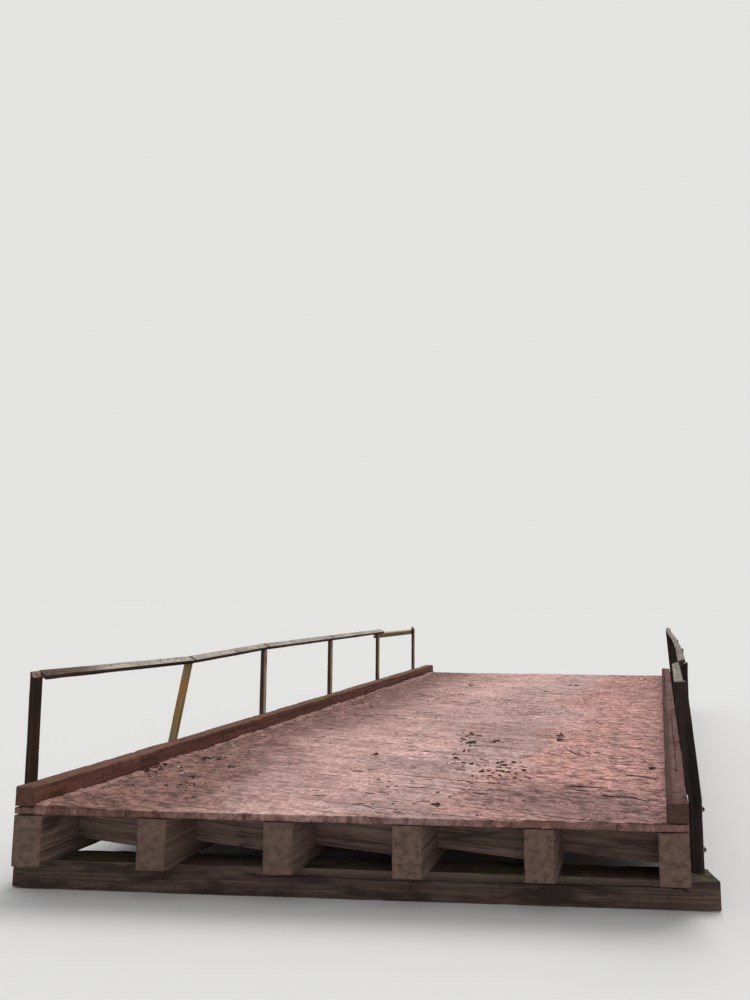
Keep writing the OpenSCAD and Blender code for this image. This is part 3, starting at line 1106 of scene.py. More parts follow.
        # Water has left lines in it along the curb
        seen = g.times(soiled, g.ease(g.lying(1), -4.4, -2.8, 0.35, 1.0))
        colour = g.mix(g.times(seen, g.ease(rills, 0.46, 0.36), 0.50), colour, self.soil_dark)
        paler = g.times(g.ease(rills, 0.54, 0.66), g.ease(blot, 0.42, 0.58, 0.3, 1.0))
        colour = g.mix(g.times(seen, paler, 0.45), colour, self.pink)
        # Darker fibres show most on the barer wood, and in the soil
        shown = g.math("MAXIMUM", g.math("MAXIMUM", barer, g.times(soiled, 0.7)), 0.45)
        furrow = g.times(g.ease(streak, 0.42, 0.30), g.ease(patch, 0.62, 0.40, 0.35, 1.0))
        colour = g.mix(g.times(furrow, shown, 0.92), colour, self.dark)
        colour = g.mix(g.times(g.ease(stroke, 0.40, 0.31), shown, 0.80), colour, self.dark)
        # Scuffs and crumbs leave it mottled
        colour = g.mix(1.0, colour, g.ease(mottle, 0.38, 0.62, 0.76, 1.24), "MULTIPLY")
        colour = g.mix(g.ease(grit, 0.44, 0.29, 0.0, 0.80), colour, self.dark)
        colour = g.mix(g.ease(grit, 0.57, 0.71, 0.0, 0.75), colour, self.pale)
        # A pale line of washed mud runs along the foot of the left curb
        foot = g.add(x, g.times(wander, 0.2), -self.plan.inner_left)
        line = g.times(g.ease(foot, -0.03, 0.0), g.ease(foot, 0.10, 0.05), 0.45)
        colour = g.mix(g.times(line, g.ease(blot, 0.35, 0.55)), colour, self.pink)
        # The planks' edges are as dark as the soil that dries on them
        edge = g.times(g.ease(g.facing(2), 0.70, 0.30), g.ease(blot, 0.30, 0.62, 0.90, 0.55))
        colour = g.mix(edge, colour, self.soil_dark)
        tone, _, opened = g.node("SeparateColor", {0: g.read("marks", "Color")}).outputs
        shade = g.times(g.ease(tone, 0.0, 1.0, 0.0, 0.30), 1.0 - self.mud)
        colour = g.mix(shade, colour, self.brown)
        colour = g.mix(g.ease(opened, 0.2, 0.7), colour, self.dark)
        height = g.add(g.times(blot, 0.50), g.times(streak, 0.35), g.times(stroke, 0.25),
                       g.times(grit, 0.40))
        return g.surface(colour, self.rough, height, self.bump)


@dataclass(frozen=True)
class GrittyFinish:
    """A plain mottled stuff, such as soil, stone, wood chips or rusty iron.

    Attributes:
        name: The material's name.
        light, dark: Its two colours.
        scale: Mottles to a metre.
        rough: Roughness.
        bump: Depth of its relief in metres.
        metallic: Share of bare metal.
    """

    name: str
    light: Colour
    dark: Colour
    scale: float
    rough: float = 0.9
    bump: float = 0.002
    metallic: float = 0.0

    def dress(self) -> Material:
        """Builds the material.

        Returns:
            The material.
        """
        g = Graph(bpy.data.materials.new(self.name))
        place = g.node("TexCoord").outputs["Object"]
        mottle = g.noise(g.scaled(place, *[self.scale] * 3), 4.0, 0.65, 0.5)
        grit = g.noise(g.scaled(place, *[self.scale * 4.3] * 3), 3.0, 0.6)
        colour = g.mix(g.ease(mottle, 0.36, 0.64), self.dark, self.light)
        colour = g.mix(g.ease(grit, 0.56, 0.70, 0.0, 0.6), colour, self.dark)
        height = g.add(g.times(mottle, 0.6), g.times(grit, 0.4))
        return g.surface(colour, self.rough, height, self.bump, self.metallic)


@dataclass
class Deck:
    """The deck's planks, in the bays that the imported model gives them.

    Attributes:
        plan: The deck's plan.
        bays: How many bays there are.
        wear: How the planks are worn.
    """

    # The planks' first seed, and how far the bays' seeds are apart
    SEED, SEEDS_A_BAY = 1000, 20

    plan: Plan
    bays: int = 6
    wear: Wear = Wear(step=0.046, wide=12, narrow=5, arris=0.005, fibre=0.0016, dents=0.0035,
                      end_loss=0.006)

    def build(self) -> None:
        """Builds the planks of each bay as one piece."""
        finish = DeckFinish("muddy_plank", self.plan, mud=0.0).dress()
        for bay in range(1, self.bays + 1):
            node, skin = f"deck_bay_{bay}", Skin()
            for row, solid in enumerate(solids_of(node)):
                seed = self.SEED + self.SEEDS_A_BAY * bay + row
                Timber(solid, ACROSS, UP, self.wear, seed).skin(skin)
            skin.make(f"worn_{node}", finish, "deck_plank", [node])


@dataclass
class Substructure:
    """The sills, stringers and blocking below the deck.

    Attributes:
        stringers: How many stringers there are.
        stringer_wear, sill_wear, block_wear: How they are cut and worn.
    """

    # Seeds of the sills, the stringers' moss, the stringers and the blocks
    SILL_SEEDS, MOSS_SEED, STRINGER_SEED, BLOCK_SEED = (31, 32), 40, 50, 70
    # The sills run askew, as the deck's ends do
    SILL_RUN = (1, 0.3, 0)

    stringers: int = 6
    stringer_wear: Wear = Wear(step=0.12, wide=7, narrow=9, arris=0.006, dents=0.003, checks=3,
                               check_depth=0.012, check_width=0.003, end_loss=0.004)
    sill_wear: Wear = Wear(step=0.09, wide=8, narrow=8, arris=0.009, dents=0.004, rot=0.004,
                           checks=3, check_depth=0.012, check_width=0.003, end_loss=0.006)
    block_wear: Wear = Wear(step=0.06, wide=6, narrow=7, arris=0.003, dents=0.002)

    def build(self) -> None:
        """Builds each sill, stringer and row of blocking."""
        wood = TimberFinish(
            "stringer_wood", light=srgb(140, 118, 108), dark=srgb(96, 76, 68),
            stain=srgb(70, 54, 48), stained=0.45, crack=srgb(34, 26, 23),
            worn=srgb(150, 130, 120), end=srgb(120, 98, 86), growth=Growth.MOSS,
            grown_and_highlight=srgb(92, 92, 52), cover=0.3).dress()
        damp = TimberFinish(
            "sill_wood", light=srgb(124, 104, 94), dark=srgb(82, 64, 56), stain=srgb(58, 46, 40),
            stained=0.6, crack=srgb(30, 23, 20), worn=srgb(136, 118, 106),
            end=srgb(108, 88, 76), growth=Growth.MOSS, grown_and_highlight=srgb(88, 92, 48), cover=0.5,
            cubes=0.3).dress()
        for end, seed in zip(("near", "far"), self.SILL_SEEDS):
            skin, node, noise = Skin(), f"sill_{end}", Noise(seed)
            for solid in solids_of(node):
                Timber(solid, self.SILL_RUN, UP, self.sill_wear, seed).skin(
                    skin, lambda p, n=noise: ease(n.layered(p[:, 0] * 3, p[:, 2] * 9), -0.2, 0.6))
            skin.make(f"worn_{node}", damp, "sill_timber", [node])
        for number in range(1, self.stringers + 1):
            skin, node, noise = Skin(), f"stringer_{number}", Noise(self.MOSS_SEED + number)
            for solid in solids_of(node):
                Timber(solid, ALONG, UP, self.stringer_wear, self.STRINGER_SEED + number).skin(
                    skin,
                    lambda p, n=noise: 0.6 * ease(n.layered(p[:, 1] * 2, p[:, 2] * 8), 0.0, 0.7))
            skin.make(f"worn_{node}", wood, "stringer_timber", [node])
        for row, place in enumerate(("near", "mid", "far")):
            skin, node = Skin(), f"blocking_{place}"
            for block, solid in enumerate(solids_of(node)):
                seed = self.BLOCK_SEED + 10 * row + block
                Timber(solid, ACROSS, UP, self.block_wear, seed).skin(skin)
            skin.make(f"worn_{node}", wood, "stringer_timber", [node])


@dataclass
class Curbs:
    """The rotten timbers along both sides of the deck.

    Attributes:
        plan: The deck's plan.
        wear: How they are worn.
        moss_from: Where along the bridge moss starts to thicken on the left.
        moss_run: Length over which it thickens.
        dark_strip: Width of the darker strip along the right curb's inner edge.
    """

    # Seeds of the timbers and of the moss
    SEED, MOSS_SEED = 300, 211

    plan: Plan
    wear: Wear = Wear(step=0.0125, wide=12, narrow=10, arris=0.008, fibre=0.0013, dents=0.0025,
                      rot=0.0045, checks=5, check_depth=0.016, check_width=0.0035, end_loss=0.006)
    moss_from: float = -3.2
    moss_run: float = 4.5
    dark_strip: float = 0.050

    def _moss(self) -> Amount:
        """Says how much moss the left curb bears.

        Returns:
            A function that gives the moss at points of the bridge.
        """
        noise = Noise(self.MOSS_SEED)

        def amount(points: Array) -> Array:
            """Gives the moss at each point, thickest on the far outer arris.

            Args:
                points: The points, one row each.

            Returns:
                The moss there, from 0 to 1.
            """
            patchy = ease(noise.layered(points[:, 1] * 2.2, points[:, 0] * 9), -0.35, 0.55)
            further = ease(points[:, 1], self.moss_from, self.moss_from + self.moss_run)
            outer = ease(points[:, 0], self.plan.inner_left - 0.01, self.plan.left + 0.09)
            return patchy * (0.15 + 0.85 * further) * outer

        return amount

    def build(self) -> None:
        """Builds the four curb timbers."""
        wood = {
            "left": TimberFinish(
                "left_curb_wood", light=srgb(140, 94, 80), dark=srgb(98, 62, 51),
                stain=srgb(72, 44, 36), stained=0.36, crack=srgb(38, 25, 22),
                worn=srgb(136, 98, 82), end=srgb(96, 72, 60), growth=Growth.MOSS,
                grown_and_highlight=srgb(138, 116, 66), cover=0.85, cubes=0.6, rough=0.92, bump=0.004,
                mud=srgb(128, 93, 80)).dress(),
            "right": TimberFinish(
                "right_curb_wood", light=srgb(118, 84, 78), dark=srgb(80, 54, 49),
                stain=srgb(64, 41, 37), stained=0.45, crack=srgb(40, 25, 23),
                worn=srgb(134, 98, 88), end=srgb(96, 68, 60), cubes=0.85, rough=0.92,
                bump=0.004, mud=srgb(140, 102, 96),
                dark_inside=self.plan.inner_right + self.dark_strip).dress(),
        }
        growth = {"left": self._moss(), "right": None}
        nodes = [(side, f"{side}_curb_{part}") for side in wood for part in ("near", "far")]
        for number, (side, node) in enumerate(nodes):
            skin = Skin()
            for solid in solids_of(node):
                timber = Timber(solid, ALONG, UP, self.wear, self.SEED + number)
                timber.skin(skin, growth[side])
            skin.make(f"worn_{node}", wood[side], "curb_timber", [node])


@dataclass
class Posts:
    """The handrail posts outside the curbs.

    Attributes:
        plan: The deck's plan.
        count: How many stand on each side.
        lichened: The left post that lichen has turned yellow, with an orange band.
        left_wear, right_wear: How the posts of each side are worn.
    """

    # First seeds of each side's posts, and what a post's growth adds to its seed
    SEEDS, GROWTH_SEED = {"left": 400, "right": 420}, 50
    # Heights between which the orange band starts, and between which it ends
    BAND = ((0.78, 0.95), (1.36, 1.22))
    # Heights between which the moss at a post's foot thins out, and its share there
    FOOT_MOSS, FOOT_SHARE = (1.15, 0.45), 0.8
    # The painted highlight strip, which stands for light on the side towards the walkway: how deep
    # under the side's face it thins out, and between which places along the bridge, from the post's
    # middle, it starts and ends
    STRIP_DEPTH, STRIP = (-0.007, -0.003), ((-0.026, -0.012), (0.044, 0.030))

    plan: Plan
    count: int = 6
    lichened: int = 2
    left_wear: Wear = Wear(step=0.011, wide=11, narrow=7, arris=0.003, fibre=0.0010, dents=0.0015,
                           checks=3, check_depth=0.006, check_width=0.0012)
    right_wear: Wear = Wear(step=0.011, wide=10, narrow=10, arris=0.006, fibre=0.0014, dents=0.003,
                            rot=0.002, checks=4, check_depth=0.012, check_width=0.0020,
                            end_loss=0.003)

    def build(self) -> None:
        """Builds the posts of both sides."""
        # The posts' browns and near-blacks are partly their weathered wood and partly painted
        # shade, as dark as posts standing backlit in the shade of trees
        brown = TimberFinish(
            "left_post_wood", light=srgb(106, 78, 60), dark=srgb(68, 47, 36),
            stain=srgb(46, 33, 24), stained=0.45, crack=srgb(24, 17, 12),
            worn=srgb(124, 100, 78), end=srgb(176, 152, 130), growth=Growth.PATINA_AND_HIGHLIGHT,
            # On these posts the patina colour is the painted highlight on the side towards the
            # walkway
            grown_and_highlight=srgb(190, 172, 140), cover=0.80).dress()
        nearest = TimberFinish(
            "near_post_wood", light=srgb(76, 50, 36), dark=srgb(46, 28, 18),
            stain=srgb(34, 22, 14), stained=0.5, crack=srgb(20, 13, 9), worn=srgb(96, 80, 58),
            end=srgb(190, 160, 144), growth=Growth.MOSS, grown_and_highlight=srgb(84, 78, 44),
            cover=0.4).dress()
        yellow = TimberFinish(
            "lichened_wood", light=srgb(190, 174, 128), dark=srgb(132, 114, 78),
            stain=srgb(98, 84, 54), stained=0.35, crack=srgb(50, 38, 22),
            worn=srgb(196, 186, 140), end=srgb(164, 146, 108), growth=Growth.PATINA_AND_HIGHLIGHT,
            grown_and_highlight=srgb(164, 116, 52), cover=0.86).dress()
        black = TimberFinish(
            "right_post_wood", light=srgb(62, 46, 40), dark=srgb(37, 26, 23),
            stain=srgb(25, 18, 15), stained=0.5, crack=srgb(10, 8, 7), worn=srgb(82, 66, 58),
            end=srgb(150, 132, 118), growth=Growth.MOSS, grown_and_highlight=srgb(52, 50, 30), cover=0.3,
            cubes=0.2).dress()
        left = {1: nearest, self.lichened: yellow}
        for side, wear in (("left", self.left_wear), ("right", self.right_wear)):
            for number in range(1, self.count + 1):
                node, skin, seed = f"{side}_post_{number}", Skin(), self.SEEDS[side] + number
                solid = solids_of(node)[0]
                lean = Lean.of_post(solid, self.plan.curb_top)
                yellowed = side == "left" and number == self.lichened
                # Beyond the lichened post, the left posts get a painted highlight up the side
                # towards the walkway
                takes_painted_highlight = side == "left" and number > self.lichened
                shown = self._painted_highlight_strip(solid, lean) if takes_painted_highlight else self._growth(seed, yellowed)
                Timber(solid, UP, ACROSS, wear, seed, lean).skin(skin, shown)
                wood = black if side == "right" else left.get(number, brown)
                slot = "lichened_post" if yellowed else f"{side}_post"
                skin.make(f"worn_{node}", wood, slot, [node])

    def _growth(self, seed: int, yellowed: bool) -> Amount:
        """Says how much grows on a post: moss near its foot, or an orange band half way up.

        Args:
            seed: The post's seed.
            yellowed: Whether the post has the orange band.

        Returns:
            A function that gives the growth at points of the bridge.
        """
        noise, (rise, fall) = Noise(seed + self.GROWTH_SEED), self.BAND

        def amount(points: Array) -> Array:
            """Gives the growth at each point.

            Args:
                points: The points, one row each.

            Returns:
                The growth there, from 0 to 1.
            """
            height = points[:, 2]
            patchy = ease(noise.layered(height * 5, points[:, 1] * 14), -0.4, 0.5)
            if yellowed:
                return patchy * (ease(height, *rise) * ease(height, *fall))
            return patchy * (ease(height, *self.FOOT_MOSS) * self.FOOT_SHARE)

        return amount

    def _painted_highlight_strip(self, solid: Solid, lean: Lean) -> Amount:
        """Says where a post gets a painted highlight: a strip up its side towards the walkway.

        Args:
            solid: The post.
            lean: How it leans.

        Returns:
            A function that gives how strongly the painted highlight lies on points of the bridge.
        """
        upright = solid.points - lean.shift(solid.points[:, 2])
        side, middle = upright[:, 0].max(), (upright[:, 1].min() + upright[:, 1].max()) / 2
        outer, inner = (side + depth for depth in self.STRIP_DEPTH)
        start, end = self.STRIP

        def amount(points: Array) -> Array:
            """Gives how strongly the painted highlight lies on each point.

            Args:
                points: The points, one row each.

            Returns:
                The painted highlight there, from 0 to 1.
            """
            stood = points - lean.shift(points[:, 2])
            place = stood[:, 1] - middle
            return ease(stood[:, 0], outer, inner) * ease(place, *start) * ease(place, *end)

        return amount


@dataclass
class Handrails:
    """The rail planks on the posts, crusted with lichen.

    Attributes:
        count: How many rails each side has.
        wear: How the sloping rails are worn.
        edge_wear: How the newer rail is worn.
        bare: Length at the left handrail's near end where moss keeps the lichen off.
    """

    # First seeds of each side's rails, and the lichen's
    SEEDS, LICHEN_SEED = {"left": 520, "right": 540}, 505
    # How far from a rail's ends the lichen starts and is whole
    BARE_END = (0.008, 0.026)
    # How far below its upper edge the newer rail's painted highlight starts, and is whole
    PALE_EDGE = (-0.030, -0.016)

    count: int = 5
    wear: Wear = Wear(step=0.0105, wide=12, narrow=7, arris=0.0035, fibre=0.0010, dents=0.0022,
                      checks=3, check_depth=0.007, check_width=0.0015, end_loss=0.004)
    edge_wear: Wear = Wear(step=0.012, wide=7, narrow=11, arris=0.002, fibre=0.0005, dents=0.0008)
    bare: float = 0.50

    def build(self) -> None:
        """Builds the rails of both sides."""
        crusted = {
            "left": TimberFinish(
                "left_rail_wood", light=srgb(92, 74, 64), dark=srgb(52, 40, 34),
                stain=srgb(36, 27, 23), stained=0.5, crack=srgb(20, 15, 13),
                worn=srgb(108, 92, 80), end=srgb(120, 98, 84), growth=Growth.LICHEN,
                grown_and_highlight=srgb(204, 194, 180), cover=0.84, cubes=0.15, rough=0.95, bump=0.0022,
                mud=srgb(118, 100, 88)),
            "right": TimberFinish(
                "right_rail_wood", light=srgb(88, 76, 68), dark=srgb(52, 43, 38),
                stain=srgb(36, 29, 26), stained=0.5, crack=srgb(18, 14, 12),
                worn=srgb(104, 92, 84), end=srgb(112, 96, 84), growth=Growth.LICHEN,
                grown_and_highlight=srgb(172, 164, 154), cover=0.74, cubes=0.3, rough=0.95, bump=0.0022,
                mud=srgb(104, 92, 82)),
        }
        newer = TimberFinish(
            "newer_rail_wood", light=srgb(142, 126, 86), dark=srgb(98, 84, 54),
            stain=srgb(84, 74, 48), stained=0.35, crack=srgb(50, 42, 26),
            worn=srgb(196, 186, 142), end=srgb(160, 142, 98), growth=Growth.PATINA_AND_HIGHLIGHT,
            # On the newer rail the patina colour is a painted highlight along its upper edge
            grown_and_highlight=srgb(236, 228, 196), cover=1.0).dress()
        noise = Noise(self.LICHEN_SEED)
        for side, finish in crusted.items():
            wood = finish.dress()
            for number in range(1, self.count + 1):
                node, skin, seed = f"{side}_rail_{number}", Skin(), self.SEEDS[side] + number
                solid = solids_of(node)[0]
                if side == "left" and number == self.count:
                    pale = self._pale_edge(solid)
                    Timber(solid, ALONG, UP, self.edge_wear, seed).skin(skin, pale)
                    skin.make(f"worn_{node}", newer, "newer_rail", [node])
                else:
                    bare = self.bare if (side, number) == ("left", 1) else 0.0
                    lichen = self._lichen(solid, bare, noise)
                    Timber(solid, ALONG, UP, self.wear, seed).skin(skin, lichen)
                    skin.make(f"worn_{node}", wood, "grey_rail", [node])

    def _lichen(self, solid: Solid, bare: float, noise: Noise) -> Amount:
        """Says how much lichen a rail bears.

        Args:
            solid: The rail.
            bare: Length at its near end where it bears little.
            noise: Makes it patchy.

        Returns:
            A function that gives the lichen at points of the bridge.
        """
        start, end = solid.points[:, 1].min(), solid.points[:, 1].max()

        def amount(points: Array) -> Array:
            """Gives the lichen at each point, which the rail's ends lack.

            Args:
                points: The points, one row each.

            Returns:
                The lichen there, from 0 to 1.
            """
            x, y = points[:, 0], points[:, 1]
            patchy = 0.65 + 0.35 * ease(noise.layered(y * 3, x * 20), -0.6, 0.2)
            from_end = np.minimum(y - start, end - y) + 0.006 * noise.at(x * 90, y * 5)
            kept = ease(from_end, *self.BARE_END)
            return patchy * kept * ease(y - start, 0.55 * bare - 0.001, 1.55 * bare)

        return amount

    def _pale_edge(self, solid: Solid) -> Amount:
        """Says where the newer rail gets a painted highlight: along its upper edge, as lit from
        above.

        Args:
            solid: The rail.

        Returns:
            A function that gives how strongly the painted highlight lies on points of the bridge.
        """
        places = solid.points[np.argsort(solid.points[:, 1])]
        near, far = (end[np.argmax(end[:, 2])] for end in (places[:4], places[-4:]))

        def amount(points: Array) -> Array:
            """Gives how strongly the painted highlight lies on each point, which is most at the
            upper edge.
            """
            edge = near[2] + (far[2] - near[2]) * (points[:, 1] - near[1]) / (far[1] - near[1])
            return ease(points[:, 2] - edge, *self.PALE_EDGE)

        return amount


@dataclass
class Dirt:
    """Dried mud on the deck, with clods, stones and chips of wood in it.

    Attributes:
        plan: The deck's plan.
        cell: Size of the mud's net.
        packed: How far below the planks' tops the mud in the gaps lies.
        film: How far the thickest mud stands over the planks.
        lump: Height of the lumps in thick mud.
        bank, bank_width: Height and reach of the mud against the left curb.
        beside: How much thicker the mud beside that bank is.
        right_bank, right_bank_width: Height and reach of the mud against the right curb.
        gap_depth: How deep the gaps are where the mud has fallen through.
        noise: Makes the mud uneven.
    """

    # How far the sheet of mud runs under the curbs, stops short of the deck's ends, and is
    # closed below the gaps
    UNDER_CURB, SHORT, BELOW = 0.012, 0.004, 0.012
    # How far strewn things keep from the curbs and from the deck's ends
    FROM_CURB, FROM_END = 0.03, 0.05
    # How many cuts a sliver has, how deep it is sunk, and the outline of a cut as shares of its
    # half width and of its thickness
    CUTS, SUNK, OUTLINE = 5, 0.0008, ((-1, 0.0), (-0.7, 1.0), (0.7, 1.0), (1, 0.0))

    plan: Plan
    cell: float = 0.026
    packed: float = 0.0045
    film: float = 0.0075
    lump: float = 0.0028
    bank: float = 0.012
    bank_width: float = 0.12
    beside: float = 0.006
    right_bank: float = 0.010
    right_bank_width: float = 0.04
    gap_depth: float = 0.036
    noise: Noise = field(default_factory=lambda: Noise(601))

    def level(self, x: Array, y: Array) -> Array:
        """Gives the mud's height over the deck's level.

        Args:
            x, y: Places on the deck.

        Returns:
            The height at each place, below 0 where planks show.
        """
        thick = ease(self.noise.layered(x * 0.9, y * 2.3, 4), -0.05, 0.55)
        lumps = self.noise.layered(x * 17, y * 17, 3)
        level = -self.packed + (self.film + self.packed) * thick + self.lump * lumps * thick
        from_left, from_right = x - self.plan.inner_left, self.plan.inner_right - x
        ragged = 1.0 + 0.35 * self.noise.layered(y * 1.7, x * 1.1, 3)
        bank = np.exp(-((np.maximum(from_left, 0) / (self.bank_width * ragged)) ** 1.6))
        level = level + self.bank * bank * (0.8 + 0.25 * lumps)
        level = level + self.beside * ease(from_left, 0.60, 0.25) * (0.7 + 0.5 * lumps)
        level = level + self.right_bank * np.exp(-np.maximum(from_right, 0) / self.right_bank_width)
        fallen = ease(self.noise.at(x * 1.3 + 40, y * 8.0), 0.30, 0.55)
        fallen = fallen * (1 - ease(level, -0.003, 0.0))
        return level - self.gap_depth * fallen * ease(from_left, 0.5, 1.5)

    def _sheet(self) -> None:
        """Lays the mud over the planks and in their gaps, as a closed sheet."""
        plan = self.plan
        left, right = plan.inner_left - self.UNDER_CURB, plan.inner_right + self.UNDER_CURB
        across = int((plan.inner_right - plan.inner_left) / self.cell)
        along = int(plan.length / self.cell)
        x = np.linspace(left, right, across + 1)[:, None]
        v = np.linspace(self.SHORT, plan.length - self.SHORT, along + 1)[None, :]
        x, y = np.broadcast_arrays(x, plan.near(x) + v)
        z = plan.top + self.level(x, y)
        low = np.full_like(z, plan.top - self.gap_depth - self.BELOW)
        top = np.stack([x, y, z], axis=-1).reshape(-1, 3)
        cell = np.arange(len(top)).reshape(across + 1, along + 1)
        a, b, c, d = cell[:-1, :-1], cell[1:, :-1], cell[1:, 1:], cell[:-1, 1:]
        quads = np.stack([a, b, c, d], axis=-1).reshape(-1, 4)
        rim = np.concatenate([cell[:-1, 0], cell[-1, :-1], cell[:0:-1, -1], cell[0, :0:-1]])
        under = np.stack([x, y, low], axis=-1).reshape(-1, 3)[rim]
        walls = [[int(a), len(top) + i, len(top) + (i + 1) % len(rim), int(b)]
                 for i, (a, b) in enumerate(zip(rim, np.roll(rim, -1)))]
        floor = [[len(top) + i for i in reversed(range(len(rim)))]]
        skin = Skin()
        skin.add(np.concatenate([top, under]), quads.tolist() + walls + floor)
        skin.make("dried_mud", DeckFinish("dried_mud", plan, mud=1.0).dress(), "deck_plank")

    def _lumps(self, name: str, material: Material, places: Sequence, sizes: Sequence,
               seed: int, flat: float, finer: bool = False) -> None:
        """Scatters lumps on the deck as one piece.

        Args:
            name: The piece's name.
            material: Its finish.
            places: The X and Y of each lump.
            sizes: The half width of each lump.
            seed: Makes their shapes.
            flat: Height of a lump as a share of its width.
            finer: Whether the lumps get more faces.
        """
        ball = bmesh.new()
        bmesh.ops.create_icosphere(ball, subdivisions=2 if finer else 1, radius=1.0)
        shape = np.array([v.co for v in ball.verts])
        faces = [[v.index for v in face.verts] for face in ball.faces]
        ball.free()
        draw, skin = np.random.default_rng(seed), Skin()
        for (x, y), size in zip(places, sizes):
            knobs = 1.0 + draw.uniform(-0.28, 0.28, (len(shape), 1))
            wide, deep = draw.uniform(0.8, 1.7), draw.uniform(0.7, 1.2)
            stretch = np.array([wide, deep, flat * draw.uniform(0.7, 1.3)])
            spin = np.array(Matrix.Rotation(draw.uniform(-0.5, 0.5), 3, "Z").transposed())
            seat = np.array([x, y, self._ground(x, y) + 0.25 * flat * size])
            skin.add((shape * knobs * stretch * size) @ spin + seat, faces)
        skin.make(name, material, crease=60.0)

    def _ground(self, x: float, y: float) -> float:
        """Gives the level on which a thing lies at a place on the deck."""
        return self.plan.top + max(float(self.level(np.array(x), np.array(y))), -0.001)

    def _spots(self, count: int, seed: int, left_pull: float, kept: float = 1.0) -> Array:
        """Draws places on the deck, thick in some patches and thin in others.

        Args:
            count: How many places are drawn.
            seed: Makes the draw.
            left_pull: Above 1, draws them towards the left curb.
            kept: Share of the places that is kept in the thin patches.

        Returns:
            The places that are kept, one row each.
        """
        draw, plan = np.random.default_rng(seed), self.plan
        wide = plan.inner_right - plan.inner_left - 2 * self.FROM_CURB
        long = plan.length - 2 * self.FROM_END
        x = plan.inner_left + self.FROM_CURB + wide * draw.uniform(size=count) ** left_pull
        y = plan.near(x) + self.FROM_END + long * draw.uniform(size=count)
        thick = ease(self.noise.layered(x * 1.3 + 9, y * 0.9, 3), -0.1, 0.5)
        return np.stack([x, y], axis=-1)[draw.uniform(size=count) < kept + (1 - kept) * thick]

    def _slivers(self, name: str, finish: GrittyFinish, rows: Sequence[tuple[float, ...]]) -> None:
        """Lays slivers of wood or bark as one piece.

        Args:
            name: The piece's name.
            finish: Its finish.
            rows: Each sliver's X, Y, length, width, thickness and turn in radians.
        """
        draw, skin, cuts = np.random.default_rng(631), Skin(), self.CUTS
        for x, y, length, width, thick, turn in rows:
            along = np.linspace(-0.5, 0.5, cuts)
            taper = np.sqrt(np.clip(1.04 - (2 * along) ** 2, 0.06, 1.0))
            bow = draw.normal(0.0, 0.06) * length * (1 - (2 * along) ** 2)
            half = 0.5 * width * taper * draw.uniform(0.6, 1.25, cuts)
            rise = thick * draw.uniform(0.7, 1.3, cuts)
            points = np.array([(a * length, b + h * u, r * v) for a, b, h, r
                               in zip(along, bow, half, rise) for u, v in self.OUTLINE])
            spin = np.array(Matrix.Rotation(turn, 3, "Z").transposed())
            faces = [[4 * k + i, 4 * k + 4 + i, 4 * k + 4 + (i + 1) % 4, 4 * k + (i + 1) % 4]
                     for k in range(cuts - 1) for i in range(4)]
            faces += [[0, 1, 2, 3], [4 * cuts - back for back in (1, 2, 3, 4)]]
            skin.add(points @ spin + np.array([x, y, self._ground(x, y) - self.SUNK]), faces)
        skin.make(name, finish.dress(), crease=50.0)

    def _chips(self) -> None:
        """Scatters pale chips and dark slivers, which mostly lie across the bridge."""
        draw = np.random.default_rng(632)
        pale = [(x, y, draw.uniform(0.012, 0.05), draw.uniform(0.003, 0.009),
                 draw.uniform(0.001, 0.0025), draw.normal(0.0, 0.35))
                for x, y in self._spots(900, seed=630, left_pull=0.9, kept=0.3)]
        chip = GrittyFinish("wood_chip", srgb(224, 192, 176), srgb(168, 128, 112), scale=90)
        self._slivers("wood_chips", chip, pale)
        # The long dark slivers that show singly, each with its length and its turn in degrees
        noted = ((1.05, -2.43, 0.16, -7), (1.23, -2.93, 0.23, -5), (1.87, -3.04, 0.25, -14),
                 (1.67, -3.76, 0.14, 8), (1.84, -3.76, 0.20, -23), (1.47, -3.57, 0.34, 8),
                 (1.56, -1.31, 0.12, -30), (0.25, -4.04, 0.20, 24), (0.74, -4.04, 0.12, 0),
                 (1.29, -2.33, 0.24, -50), (1.52, -2.25, 0.36, -45), (1.44, -3.69, 0.13, -4),
                 (0.56, 0.12, 0.13, -4), (-0.77, -0.44, 0.26, 4), (-0.68, 0.61, 0.14, -36),
                 (1.36, -0.46, 0.30, -70), (1.21, -2.19, 0.34, -62))
        long = [(x, y, length, draw.uniform(0.010, 0.020), draw.uniform(0.003, 0.006),
                 math.radians(turn)) for x, y, length, turn in noted]
        short = [(x, y, draw.uniform(0.02, 0.10), draw.uniform(0.004, 0.012),
                  draw.uniform(0.001, 0.004), draw.normal(0.0, 0.30))
                 for x, y in self._spots(1100, seed=633, left_pull=0.62, kept=0.25)]
        bark = GrittyFinish("bark_sliver", srgb(84, 58, 52), srgb(42, 28, 26), scale=120)
        self._slivers("bark_slivers", bark, long + short)

    def build(self) -> None:
        """Builds the mud and everything in it."""
        self._sheet()
        soil = GrittyFinish("soil_lump", srgb(92, 64, 56), srgb(46, 31, 27), scale=60).dress()
        stone = GrittyFinish("stone", srgb(238, 228, 214), srgb(186, 166, 150), scale=120).dress()
        draw = np.random.default_rng(612)
